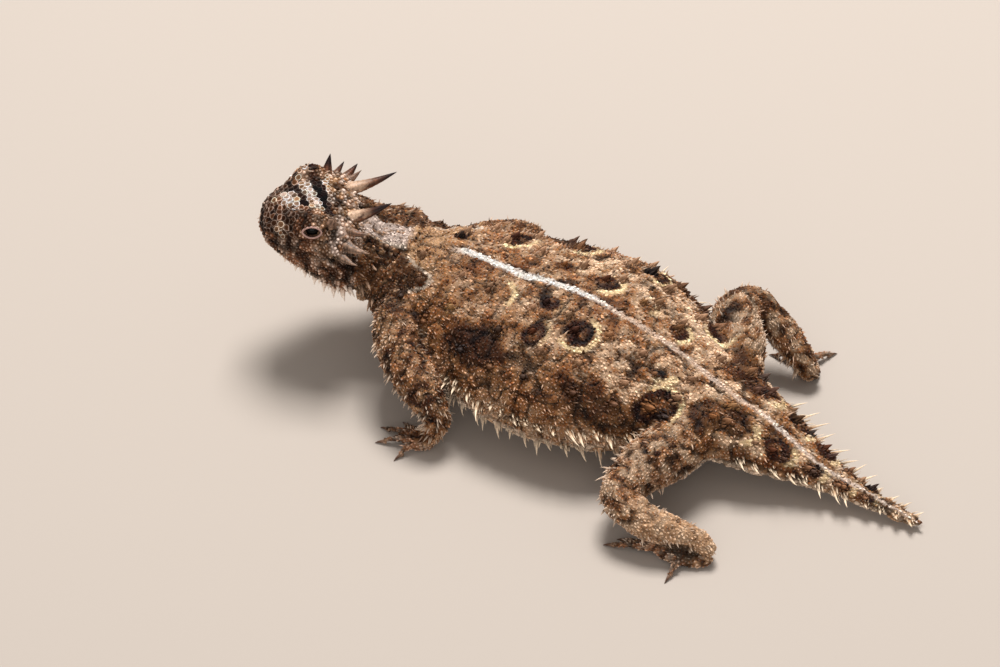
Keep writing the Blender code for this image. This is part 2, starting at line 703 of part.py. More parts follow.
def skull_cutter():
    """The head grown by the gap, which cuts what stands next to it."""
    shares = [-GAP / HEAD_LENGTH, 0.0, 0.07, 0.16, 0.26, 0.36, 0.46, 0.56]
    return loft("skull_cutter", [head_ring(s, turn(HEAD_SIDES), grow=GAP) for s in shares])


def head_surface(share, degrees):
    """A point of the head's skin, and the direction out of it. 0 is its left side and 90 the crown."""
    a, small = math.radians(degrees), 0.04
    here = head_ring(share, np.array([a - small, a, a + small]))
    along = head_ring(min(share + 0.02, 1.0), np.array([a]))[0] - head_ring(share - 0.02, np.array([a]))[0]
    out = unit(np.cross(here[2] - here[0], along))
    middle = head_point(share * HEAD_LENGTH, 0.0, head_sizes(share)[2])
    return here[1], out if out @ (here[1] - middle) > 0 else -out


def head_angle(share, high):
    """The angle round the head at which its skin is at the given height in the head's frame."""
    crown, throat, widest, _ = head_sizes(share)
    if high >= widest:
        return math.degrees(math.asin(min(1.0, (high - widest) / (crown - widest)) ** (2.7 / 2)))
    return -math.degrees(math.asin(min(1.0, (widest - high) / (widest - throat)) ** (2.3 / 2)))


def mouth_path(side, samples=11):
    """Places and outward directions along the line of the mouth, from its corner to the snout."""
    rows = np.array(MOUTH)
    places, outs = [], []
    for share in rows[0, 0] + (1.0 - rows[0, 0]) * np.linspace(0, 1, samples) ** 0.8:
        high = smooth_between(rows[:, 0], rows[:, 1:], share)[0, 0] * HEAD_DEPTH
        place, out = head_surface(min(share, 0.985), head_angle(min(share, 0.985), high))
        places.append(place)
        outs.append(out)
    places, outs = np.array(places), np.array(outs)
    if side < 0:
        places = places - 2 * np.outer((places - HEAD_ORIGIN) @ HEAD_LEFT, HEAD_LEFT)
        outs = outs - 2 * np.outer(outs @ HEAD_LEFT, HEAD_LEFT)
    return places, outs


def mouth_pieces():
    """A thin bent bar that cuts the line of the mouth, and the upper and lower lips."""
    left, left_out = mouth_path(1)
    right, right_out = mouth_path(-1)
    front = head_point(HEAD_LENGTH + 0.15, 0.0, MOUTH[-1][1] * HEAD_DEPTH)
    places = np.concatenate([left[:-1], [front], right[-2::-1]])
    outs = np.concatenate([left_out[:-1], [HEAD_FORWARD], right_out[-2::-1]])
    count = len(places)
    fade = np.minimum(1.0, (count / 2 - np.abs(np.arange(count) - (count - 1) / 2)) / 2.5)
    bar = []
    for place, out, size in zip(places, outs, fade):
        top = unit(HEAD_UP - out * (HEAD_UP @ out)) * MOUTH_GAP / 2 * size
        deep, clear = out * MOUTH_DEPTH * size, out * 1.2
        inner, outer = place - deep, place + clear
        bar.append(np.array([inner - top * 0.6, outer - top, outer + top, inner + top * 0.6]))
    lips = []
    for name, above in (("upper_lip", 1), ("lower_lip", -1)):
        rings = []
        for place, out, size in zip(places, outs, np.maximum(fade, 0.35)):
            top = unit(HEAD_UP - out * (HEAD_UP @ out))
            sunk = place - out * LIP_RADIUS * (1.2 - size)
            centre = sunk + top * above * (MOUTH_GAP / 2 + LIP_RADIUS * 0.75)
            ring = np.outer(np.cos(turn(5)), out) + np.outer(np.sin(turn(5)), top)
            rings.append(centre + ring * LIP_RADIUS * size)
        lips.append(loft(name, rings))
    return loft("mouth", bar), lips


def eye_frame(side):
    """The middle of an eye, and the directions out of the head, forwards and up along its opening."""
    ahead, left, above = EYE_PLACE
    centre = head_point(ahead, left * side, above)
    tilt = math.radians(EYE_TILT)
    out = head_vector(EYE_FACING[0], side, EYE_FACING[1])
    forward = head_vector(math.cos(tilt), 0.0, -math.sin(tilt))
    forward = unit(forward - out * (forward @ out))
    top = np.cross(out, forward)
    return centre, (out, forward, top if top @ HEAD_UP > 0 else -top)


def eye_opening(side):
    """A pointed oval prism that cuts the gap between the lids."""
    centre, (out, forward, top) = eye_frame(side)
    length, height = EYE_OPENING
    a = turn(12)
    along = np.cos(a) * length / 2
    high = np.sign(np.sin(a)) * np.abs(np.sin(a)) ** 1.3 * height / 2
    outline = np.outer(along, forward) + np.outer(high, top)
    inner = centre + out * EYE_RADIUS * 0.5 + outline * 0.9
    outer = centre + out * EYE_RADIUS * 2.4 + outline * 1.25
    return loft("eye_opening", [inner, outer])


def lids(side, grow=0.0):
    """The swelling round an eye that its lids are cut in."""
    centre, axes = eye_frame(side)
    reach = tuple(size + grow for size in LID_REACH)
    return ellipsoid("lids", centre, axes, reach, rings=8, sides=14)


def brow_ridge(side):
    """The ridge from the brow horn's foot over the eye to the snout."""
    ridge = np.array(BROW_RIDGE) * (1, side, 1, 1)
    centres = head_point(*ridge[:, :3].T)
    rings = []
    for middle, (_, across, up), size in zip(centres, frames_along(centres, HEAD_UP), ridge[:, 3]):
        ring = np.outer(np.cos(turn(8)), across) + np.outer(np.sin(turn(8)), up)
        rings.append(middle + size * ring)
    return loft("brow_ridge", rings)


def plate(place, out, back, radius):
    """A low plate with its highest point towards the back of the head."""
    across = unit(np.cross(out, back))
    back = np.cross(across, out)
    ring = np.outer(np.cos(turn(6)), back) + np.outer(np.sin(turn(6)), across)
    rings = [
        place - out * PLATE_SINK + ring * radius * 0.9,
        place + out * PLATE_HEIGHT * 0.35 + ring * radius * 0.88,
    ]
    return loft("plate", rings, tip=place + out * PLATE_HEIGHT + back * radius * 0.3)


def near_horn(place):
    """The distance from a place to the side of the nearest horn."""
    found = []
    for root, tip, radius in HORNS.values():
        root, heading = head_point(*root), unit(head_point(*tip) - head_point(*root))
        found.append(np.linalg.norm(np.cross(place - root, heading)) - radius)
    return min(found)


def crown_plates():
    """Plates over the crown and snout, kept off the horns, lids and nostrils."""
    chance = np.random.default_rng(21)
    nostrils = [head_surface(NOSTRIL_SHARE, degrees)[0] for degrees in (NOSTRIL_ANGLE, 180 - NOSTRIL_ANGLE)]
    eyes = [eye_frame(side)[0] for side in (1, -1)]
    made = []
    for share, spacing, radius in CROWN_PLATES:
        width = head_sizes(share)[3]
        count = int(2 * PLATED_WIDTH * width / spacing) | 1
        for k in range(count):
            across = (k - (count - 1) / 2) * spacing
            angle = math.acos(np.sign(across) * (abs(across) / width) ** 1.35)
            place, out = head_surface(share + chance.uniform(-0.012, 0.012), math.degrees(angle))
            size = radius * chance.uniform(0.9, 1.08)
            lid_room = min(np.linalg.norm(place - eye) for eye in eyes) - max(LID_REACH)
            nostril_room = min(np.linalg.norm(place - nostril) for nostril in nostrils) - NOSTRIL_RADIUS
            if lid_room > size * 0.5 and nostril_room > size and near_horn(place) > size + 2 * GAP:
                made.append(plate(place, out, -HEAD_FORWARD, size))
    return made


def jaw_spines(grow=0.0):
    """The fringe along both edges of the lower jaw."""
    made = []
    lean = head_vector(-0.5, 0.0, -0.6)
    for share, degrees, length in JAW_SPINES:
        for side in (1, -1):
            root, out = head_surface(share, degrees if side > 0 else 180 - degrees)
            if is_clear("head", root, out, lean, length, JAW_SPINE_RADIUS):
                made.append(spine(root, out, lean, length + grow, JAW_SPINE_RADIUS + grow))
    return made


def build_head():
    """The skull and jaws as one piece, with plates, brows, lids, lips, nostrils and the jaw's spines."""
    shares = [0.0, 0.07, 0.16, 0.26, 0.36, 0.46, 0.56, 0.66, 0.76, 0.85, 0.92, 0.965, 1.0]
    head = loft("head", [head_ring(s, turn(HEAD_SIDES)) for s in shares])
    mouth, added = mouth_pieces()
    added += crown_plates() + jaw_spines()
    cuts = [mouth]
    for side in (1, -1):
        centre, axes = eye_frame(side)
        added += [lids(side), brow_ridge(side)]
        cuts.append(ellipsoid("socket", centre, axes, (SOCKET_RADIUS,) * 3, rings=8, sides=12))
        cuts.append(eye_opening(side))
        place, out = head_surface(NOSTRIL_SHARE, NOSTRIL_ANGLE if side > 0 else 180 - NOSTRIL_ANGLE)
        turned = (out, *frames_along(np.array([place, place + out]))[0][1:])
        cuts.append(ellipsoid("nostril", place, turned, (NOSTRIL_RADIUS,) * 3, rings=4, sides=6))
    head = boolean(head, added, "UNION")
    head = boolean(head, cuts, "DIFFERENCE")
    return dress(keep_largest(head), SKIN_DARK, 0.75)


def build_eyes():
    """The eyeballs, in their sockets behind the lids."""
    made = []
    for name, side in (("eye_left", 1), ("eye_right", -1)):
        centre, axes = eye_frame(side)
        eye = ellipsoid(name, centre, axes, (EYE_RADIUS,) * 3, rings=8, sides=12)
        made.append(dress(eye, EYE_BLACK, 0.1))
    return made


def horn_cone(name, root, tip, radius):
    """A horn as a tapered cone, with its root inside the skull."""
    heading = unit(tip - root)
    side = unit(np.cross(heading, HEAD_UP))
    top = np.cross(side, heading)
    ring = np.outer(np.cos(turn(HORN_SIDES)), side) + np.outer(np.sin(turn(HORN_SIDES)), top)
    rings = [root - heading * radius + ring * radius]
    for share in (0.15, 0.4, 0.7):
        sag = -HEAD_UP * 0.05 * math.sin(share * math.pi) * np.linalg.norm(tip - root)
        rings.append(root + (tip - root) * share + sag + ring * radius * (1 - share) ** 0.8)
    return loft(name, rings, tip=tip)


def build_horns():
    """The horns, each cut clear of the skull and lids that it stands on."""
    made = []
    for name, (root, tip, radius) in HORNS.items():
        horn = horn_cone(name, head_point(*root), head_point(*tip), radius)
        around = [skull_cutter(), *(lids(side, grow=1.2 * GAP) for side in (1, -1))]
        made.append(dress(keep_largest(boolean(horn, around, "DIFFERENCE")), HORN_BROWN, 0.5))
    return made


def limb_spines(name, path, part):
    """Spines round one length of a limb, leaning towards the foot and kept off the body."""
    first, last, count, length, radius = LIMB_SPINES[name.split("_")[0]][part]
    chance = np.random.default_rng(30 + len(name) + part)
    made = []
    for k in range(count):
        share = first + (last - first) * (k + 0.5) / count
        middle, size, (tangent, side, top) = path.at(share)
        start = GOLDEN_ANGLE * k + chance.uniform(-15, 15)
        for degrees in (start, start + 45, start - 45, start + 90, start - 90, start + 140, start - 140):
            a = math.radians(degrees)
            out = side * math.cos(a) + top * math.sin(a)
            root = middle + out * size * 0.97
            if is_clear(name, root, out, tangent, length * 1.1, radius):
                made.append(spine(root, out, tangent, length * chance.uniform(0.75, 1.1), radius))
                break
    return made


def clear_of_body(made):
    """Cuts a piece clear of the trunk and neck."""
    span = np.arange(SHOULDER_X - 1.0, TAIL_WAIST_X, 3.0)
    trunk = loft("trunk_cutter", [trunk_ring(x, turn(TRUNK_SIDES), grow=1.2 * GAP) for x in span])
    neck = loft("neck_cutter", neck_rings(grow=1.2 * GAP))
    return keep_largest(boolean(made, [trunk, neck], "DIFFERENCE"))


def build_limb(name):
    """A leg in three pieces, cut clear of the body."""
    path = LimbPath(LIMBS[name])
    joint, wrist, pieces = PARTINGS[name]
    gap = GAP / path.length
    upper = loft(f"{name}_{pieces[0]}", [path.ring(s) for s in np.linspace(0.0, joint - gap / 2, 8)])
    upper = boolean(clear_of_body(upper), limb_spines(name, path, 0), "UNION")
    lower = loft(
        f"{name}_{pieces[1]}", [path.ring(s) for s in np.linspace(joint + gap / 2, wrist - gap / 2, 7)]
    )
    thigh = loft("thigh_cutter", [path.ring(s, grow=GAP) for s in np.linspace(0.0, joint, 9)])
    lower = clear_of_body(boolean(lower, [thigh], "DIFFERENCE"))
    lower = boolean(lower, limb_spines(name, path, 1), "UNION")
    foot = build_foot(f"{name}_{pieces[2]}", name, path, wrist + gap / 2)
    shin = loft("shin_cutter", [path.ring(s, grow=GAP) for s in np.linspace(joint, wrist, 9)])
    foot = keep_largest(boolean(foot, [shin], "DIFFERENCE"))
    return [dress(keep_largest(piece), SKIN_TAN, 0.75) for piece in (upper, lower, foot)]


def build_foot(node, name, path, wrist):
    """A sole with five toes and their claws, cut flat where it stands on the floor."""
    (x, y), heading, long_radius, short_radius, toes, hand = FEET[name]
    turned = math.radians(heading)
    ahead = np.array([-math.cos(turned), -math.sin(turned), 0.0])
    across = np.array([ahead[1], -ahead[0], 0.0]) * -1
    up = np.array([0.0, 0.0, 1.0])
    centre = np.array([x, y, SOLE_HEIGHT - 0.6])
    wrist_stub = loft("wrist_stub", [path.ring(s) for s in np.linspace(wrist, 1.0, 3)])
    pieces = [ellipsoid("sole", centre, (ahead, across, up), (long_radius, short_radius, SOLE_HEIGHT))]
    for k, (angle, length) in enumerate(toes):
        a = math.radians(heading + hand * angle)
        out = np.array([-math.cos(a), -math.sin(a), 0.0])
        base = centre + out * 1.0
        tip = centre + out * length + up * -0.35
        shares = np.linspace(0, 1, 4)
        knots = [base * (1 - s) + tip * s + up * math.sin(s * math.pi) * 0.5 for s in shares]
        frames = frames_along(np.array(knots))
        rings = []
        for s, knot, (_, side, top) in zip(shares, knots, frames):
            radius = TOE_RADIUS * (1.05 - 0.35 * s)
            ring = np.outer(np.cos(turn(5)), side) + np.outer(np.sin(turn(5)), top)
            rings.append(knot + ring * radius)
        pieces.append(loft(f"toe_{k}", rings, tip=tip + out * CLAW_LENGTH - up * 0.1))
    foot = wrist_stub
    foot.name = node
    foot = boolean(foot, pieces, "UNION")
    foot = boolean(foot, [floor_block()], "DIFFERENCE")
    return keep_largest(foot)


def centre_on_floor(nodes):
    """Moves every piece so that the middle of the whole, seen from above, is the origin."""
    corners = np.array([v.co for node in nodes for v in node.data.vertices])
    low, high = corners.min(axis=0), corners.max(axis=0)
    shift = -(low + high) / 2
    for node in nodes:
        for vertex in node.data.vertices:
            vertex.co.x += shift[0]
            vertex.co.y += shift[1]


def clear_scene():
    """Removes what the scene holds at the start."""
    for made in list(bpy.data.objects):
        bpy.data.objects.remove(made)


def main():
    """Builds every piece of the lizard."""
    clear_scene()
    nodes = [build_torso(), build_neck(), build_head()]
    nodes += build_tail() + build_eyes() + build_horns()
    for name in LIMBS:
        nodes += build_limb(name)
    centre_on_floor(nodes)


main()
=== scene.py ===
"""A horned lizard at rest, life size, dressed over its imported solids.

Shapes are worked out in millimetres in the animal's own coordinates: the tail's tip is near x = 0, the
head lies towards -x and the left side towards -y. Each mesh is moved into the row frame, in metres, when
it is made.
"""

import logging
import math
import sys
from dataclasses import dataclass, field
from enum import Enum
from typing import ClassVar

import bpy
import numpy as np
from mathutils import Matrix, Vector
from mathutils.kdtree import KDTree

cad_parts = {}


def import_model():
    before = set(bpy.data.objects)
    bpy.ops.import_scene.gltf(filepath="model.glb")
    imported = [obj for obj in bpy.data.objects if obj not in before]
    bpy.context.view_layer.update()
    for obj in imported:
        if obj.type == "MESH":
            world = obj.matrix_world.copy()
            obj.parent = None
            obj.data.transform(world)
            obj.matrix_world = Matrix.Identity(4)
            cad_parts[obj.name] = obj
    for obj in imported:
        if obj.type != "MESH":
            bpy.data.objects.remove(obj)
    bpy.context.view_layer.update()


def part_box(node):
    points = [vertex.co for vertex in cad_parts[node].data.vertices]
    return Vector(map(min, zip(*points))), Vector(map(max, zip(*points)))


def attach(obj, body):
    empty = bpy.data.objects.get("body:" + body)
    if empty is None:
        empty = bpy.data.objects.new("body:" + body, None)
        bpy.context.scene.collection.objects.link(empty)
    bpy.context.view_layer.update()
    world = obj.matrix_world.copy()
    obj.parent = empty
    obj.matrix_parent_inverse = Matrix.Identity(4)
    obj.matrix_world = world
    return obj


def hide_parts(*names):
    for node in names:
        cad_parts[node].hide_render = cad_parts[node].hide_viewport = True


Array = np.ndarray
MM = 0.001  # metres in a millimetre
GAP = 0.3  # millimetres between neighbouring solids
BODY = "root"
MIDDLE_Y = 1.3  # the middle of the animal's width
TAIL_X = -34.0  # where the tail starts
BELLY_TOP = -0.25  # the under side's scales grow where the skin faces further down than this
FORELEGS = (3, 4)  # the places of the forelegs among the animal's forms
HINDLEG_LEFT = 5  # the place of the left hindleg among them
TINY = 1e-3  # the least that a share is divided by
SMALL_ANGLE = 0.04  # radians to each side at which a surface's slope is read
MOUTH_STEPS = 60  # places along the line of the mouth
MOUTH_REACH = 12  # further than this from the middle of the mouth's line, nothing touches it
FLOOR_GAP = 0.02  # the lowest that scales and spines reach
LOG = logging.getLogger("horned_lizard")

# ---------------------------------------------------------------- shared sums


def unit(vectors: Array) -> Array:
    """Vectors at length 1, along the last axis."""
    vectors = np.asarray(vectors, float)
    return vectors / np.maximum(np.linalg.norm(vectors, axis=-1, keepdims=True), 1e-12)


def smooth_between(keys: Array, rows: Array, at: Array) -> Array:
    """Smooth values between rows of numbers.

    Args:
        keys: Rising places of the rows.
        rows: One row of numbers for each key.
        at: Places to read.

    Returns:
        One row of numbers for each place.
    """
    keys, rows = np.asarray(keys, float), np.asarray(rows, float)
    at = np.clip(np.atleast_1d(np.asarray(at, float)), keys[0], keys[-1])
    step = np.diff(keys)[:, None]
    slope = np.diff(rows, axis=0) / step
    tangents = np.zeros_like(rows)
    tangents[1:-1] = (slope[:-1] * step[1:] + slope[1:] * step[:-1]) / (step[:-1] + step[1:])
    tangents[0], tangents[-1] = slope[0], slope[-1]
    i = np.clip(np.searchsorted(keys, at) - 1, 0, len(keys) - 2)
    h = step[i]
    u = (at - keys[i])[:, None] / h
    return (
        (2 * u**3 - 3 * u**2 + 1) * rows[i]
        + (u**3 - 2 * u**2 + u) * h * tangents[i]
        + (3 * u**2 - 2 * u**3) * rows[i + 1]
        + (u**3 - u**2) * h * tangents[i + 1]
    )


def section(
    angles: Array, width: Array, rise: Array, drop: Array, crown: float, belly: float
) -> tuple[Array, Array]:
    """Sideways and upward distances round a body section.

    Args:
        angles: Angles round the section, 90 degrees being the top.
        width: Half width.
        rise: Height above the widest line.
        drop: Depth below the widest line.
        crown: Roundness of the upper half, 2 being an ellipse.
        belly: Roundness of the lower half.

    Returns:
        The two distances.
    """
    c, s = np.cos(angles), np.sin(angles)
    power = 2.0 / np.where(s >= 0, crown, belly)
    across = width * np.sign(c) * np.abs(c) ** power
    return across, np.where(s >= 0, rise, drop) * np.sign(s) * np.abs(s) ** power


def turn(sides: int) -> Array:
    """Angles evenly round a section."""
    return np.arange(sides) * 2 * math.pi / sides


def spokes(angles: Array, first: Array, second: Array) -> Array:
    """Directions at those angles from the first towards the second, for each pair: (pairs, angles, 3)."""
    return np.cos(angles)[None, :, None] * first[:, None] + np.sin(angles)[None, :, None] * second[:, None]


def facing(direction: Array, away: Array) -> Array:
    """The direction, or its opposite where that lies nearer to the other one."""
    return direction if direction @ away > 0 else -direction


def apart(points: Array, place: Array) -> Array:
    """How far each point lies from a place."""
    return np.linalg.norm(points - place, axis=1)


def shrunk(size: Array, inset: float) -> Array:
    """A size less the inset, though never less than half of it."""
    return np.maximum(size - inset, 0.5 * size)


def step_up(value: Array, low: float, high: float) -> Array:
    """A smooth step from 0 at low to 1 at high."""
    t = np.clip((value - low) / (high - low), 0.0, 1.0)
    return t * t * (3 - 2 * t)


def grain(points: Array, size: float, seed: int) -> Array:
    """Smooth random numbers in space.

    Args:
        points: Places, one a row.
        size: Distance over which the numbers change, in millimetres.
        seed: Which field of numbers.

    Returns:
        A number from 0 to 1 for each place.
    """
    scaled = points / size + seed * 17.31
    base = np.floor(scaled).astype(np.int64)
    part = scaled - base
    part = part * part * (3 - 2 * part)
    total = np.zeros(len(points))
    for corner in range(8):
        offset = np.array([corner & 1, corner >> 1 & 1, corner >> 2 & 1])
        cell = base + offset
        hashed = cell[:, 0] * 73856093 ^ cell[:, 1] * 19349663 ^ cell[:, 2] * 83492791 ^ seed * 2654435761
        hashed = (hashed ^ hashed >> 13) * 1274126177 & 0x7FFFFFFF
        value = (hashed ^ hashed >> 16) % 65536 / 65535.0
        total += value * np.prod(np.where(offset, part, 1 - part), axis=1)
    return total


def creases(points: Array) -> Array:
    """How deep in a crease between clumps of scales each place lies, from 0 to 1.

    Args:
        points: The places, one a row.

    Returns:
        A number for each place.
    """
    wide = 1 - np.abs(2 * grain(points, 2.3, 41) - 1)
    fine = 1 - np.abs(2 * grain(points, 1.15, 42) - 1)
    return np.maximum(step_up(wide, 0.80, 0.98), 0.8 * step_up(fine, 0.80, 0.98))


def frames_along(centres: Array, up: tuple[float, float, float] = (0.0, 0.0, 1.0), reach: int = 1) -> Array:
    """Tangent, side and top directions at each point of a path, with no twist between them.

    Args:
        centres: The path's points.
        up: A direction that the first top leans towards.
        reach: How many points apart the tangent is read.

    Returns:
        An array of (points, 3 directions, 3).
    """
    here = np.arange(len(centres))
    ahead, behind = np.minimum(here + reach, here[-1]), np.maximum(here - reach, 0)
    tangents = unit(centres[ahead] - centres[behind])
    side = np.cross(tangents[0], np.asarray(up, float))
    frames = []
    for tangent in tangents:
        side = unit(side - tangent * (side @ tangent))
        frames.append((tangent, side, np.cross(side, tangent)))
    return np.array(frames)


# ---------------------------------------------------------------- meshes


@dataclass
class Shell:
    """Points in millimetres and the triangles between them, with a colour and a place on the UV map each."""

    points: Array
    faces: Array
    colours: Array | None = None
    patches: Array | None = None

    @staticmethod
    def joined(shells: list["Shell"]) -> "Shell":
        """Several shells as one.

        Args:
            shells: The shells, all with colours and patches or all without.

        Returns:
            The one shell.
        """
        starts = np.cumsum([0] + [len(s.points) for s in shells[:-1]])
        return Shell(
            np.concatenate([s.points for s in shells]),
            np.concatenate([s.faces + start for s, start in zip(shells, starts)]),
            None if shells[0].colours is None else np.concatenate([s.colours for s in shells]),
            None if shells[0].patches is None else np.concatenate([s.patches for s in shells]),
        )

    def to_mesh(self, name: str, scale: float = 1.0, shift: Array | None = None) -> bpy.types.Mesh:
        """A Blender mesh of this shell.

        Args:
            name: The mesh's name.
            scale: Factor from millimetres to the mesh's unit.
            shift: Added to the points first, in millimetres.

        Returns:
            The mesh, with the attribute "coat" and the UV map "OFBake" where the shell has them.
        """
        mesh = bpy.data.meshes.new(name)
        places = (self.points + (0 if shift is None else shift)) * scale
        faces = self.faces.astype(np.int32)
        mesh.vertices.add(len(places))
        mesh.vertices.foreach_set("co", places.astype(np.float32).ravel())
        mesh.loops.add(faces.size)
        mesh.loops.foreach_set("vertex_index", faces.ravel())
        mesh.polygons.add(len(faces))
        mesh.polygons.foreach_set("loop_start", np.arange(0, faces.size, 3, dtype=np.int32))
        mesh.update(calc_edges=True)
        if self.colours is not None:
            tint = mesh.color_attributes.new("coat", "FLOAT_COLOR", "POINT")
            rgba = np.concatenate([self.colours, np.ones((len(places), 1))], axis=1)
            tint.data.foreach_set("color", rgba.astype(np.float32).ravel())
        if self.patches is not None:
            layer = mesh.uv_layers.new(name="OFBake")
            layer.data.foreach_set("uv", self.patches[faces.ravel()].astype(np.float32).ravel())
        return mesh


def loft(rings: Array) -> Shell:
    """A closed shell through rings of points, with a middle point in each flat end.

    Args:
        rings: An array of (rings, points, 3).

    Returns:
        The shell, with its faces turned outwards.
    """
    count, sides = rings.shape[:2]
    points = np.concatenate([rings.reshape(-1, 3), rings[0].mean(0)[None], rings[-1].mean(0)[None]])
    k, j = np.meshgrid(np.arange(count - 1), np.arange(sides), indexing="ij")
    a, b = (k * sides + j).ravel(), (k * sides + (j + 1) % sides).ravel()
    faces = [np.stack([a, b, b + sides], 1), np.stack([a, b + sides, a + sides], 1)]
    j = np.arange(sides)
    near, far, last = count * sides, count * sides + 1, (count - 1) * sides
    faces.append(np.stack([np.full(sides, near), (j + 1) % sides, j], 1))
    faces.append(np.stack([np.full(sides, far), last + j, last + (j + 1) % sides], 1))
    return outwards(Shell(points, np.concatenate(faces)))


def tube(centres: Array, frames: Array, radii: Array, sides: int) -> Shell:
    """A closed tube along a path with frames, of a radius for each point."""
    return loft(centres[:, None] + spokes(turn(sides), frames[:, 1], frames[:, 2]) * radii[:, None, None])


def outwards(shell: Shell) -> Shell:
    """The closed shell with its faces turned outwards.

    Args:
        shell: The shell.

    Returns:
        The same shell.
    """
    if np.linalg.det(shell.points[shell.faces]).sum() < 0:
        shell.faces = shell.faces[:, ::-1]
    return shell


def ellipsoid(
    centre: Array, axes: Array, radii: tuple[float, ...], rings: int = 18, sides: int = 24
) -> Shell:
    """An ellipsoid with its poles on the first axis.

    Args:
        centre: Its middle.
        axes: Three directions at right angles, one a row.
        radii: The reach along each of them.
        rings: Steps from pole to pole.
        sides: Steps round.

    Returns:
        The shell.
    """
    rows = []
    for latitude in np.linspace(-math.pi / 2, math.pi / 2, rings + 1)[1:-1]:
        a = turn(sides)
        flat = np.outer(np.cos(a) * radii[1], axes[1]) + np.outer(np.sin(a) * radii[2], axes[2])
        rows.append(centre + axes[0] * radii[0] * math.sin(latitude) + flat * math.cos(latitude))
    made = loft(np.array(rows))
    made.points[-2] = centre - axes[0] * radii[0]
    made.points[-1] = centre + axes[0] * radii[0]
    return outwards(made)


def srgb(red: float, green: float, blue: float) -> Array:
    """A linear colour from the 0 to 255 values of a colour on the screen."""
    value = np.array([red, green, blue]) / 255.0
    return np.where(value <= 0.04045, value / 12.92, ((value + 0.055) / 1.055) ** 2.4)


def mixed(base: Array, *coats: tuple[Array, Array]) -> Array:
    """The base colours turned towards others in order, each other colour coming with its weights.

    Args:
        base: The base colours, or one for all.
        coats: Other colours, each with its weights.

    Returns:
        A colour for each weight.
    """
    for colour, weight in coats:
        weight = np.clip(weight, 0.0, 1.0)[:, None]
        base = base * (1 - weight) + colour * weight
    return base


# ---------------------------------------------------------------- the animal's forms


class Part(Enum):
    """The forms that the skin is divided into for its scales and colours."""

    TRUNK = 0
    NECK = 1
    HEAD = 2
    LIMB = 3
    FOOT = 4


@dataclass
class Chart:
    """Where places lie on one form, as an unwrap of that form's own skin."""

    distance: Array  # roughly how far outside the form
    along: Array  # 0 to 1 along the form
    around: Array  # degrees round it
    back: Array  # the direction in which its scales point
    top: Array  # 1 on the upper side, -1 on the under side


def charted(
    offsets: tuple[Array, Array],
    sizes: tuple[Array, ...],
    powers: tuple[float, float],
    beyond: Array,
    along: Array,
    back: Array,
) -> Chart:
    """The chart of places round a body section.

    Args:
        offsets: How far the places lie sideways and above the section's middle.
        sizes: The section's half width, rise and drop there.
        powers: The roundness of its upper and lower half.
        beyond: How far the places lie past the form's ends.
        along: Their share of the form's length.
        back: The direction in which scales point there.

    Returns:
        The chart.
    """
    (across, high), (width, rise, drop) = offsets, sizes
    tall, power = np.where(high > 0, rise, drop), np.where(high > 0, *powers)
    size = (np.abs(across / width) ** power + np.abs(high / tall) ** power) ** (1 / power)
    angle = np.arctan2(high / tall, across / width)
    distance = np.hypot(across, high) * (1 - 1 / np.maximum(size, TINY)) + beyond
    return Chart(distance, along, np.degrees(angle) % 360, back, np.sin(angle))


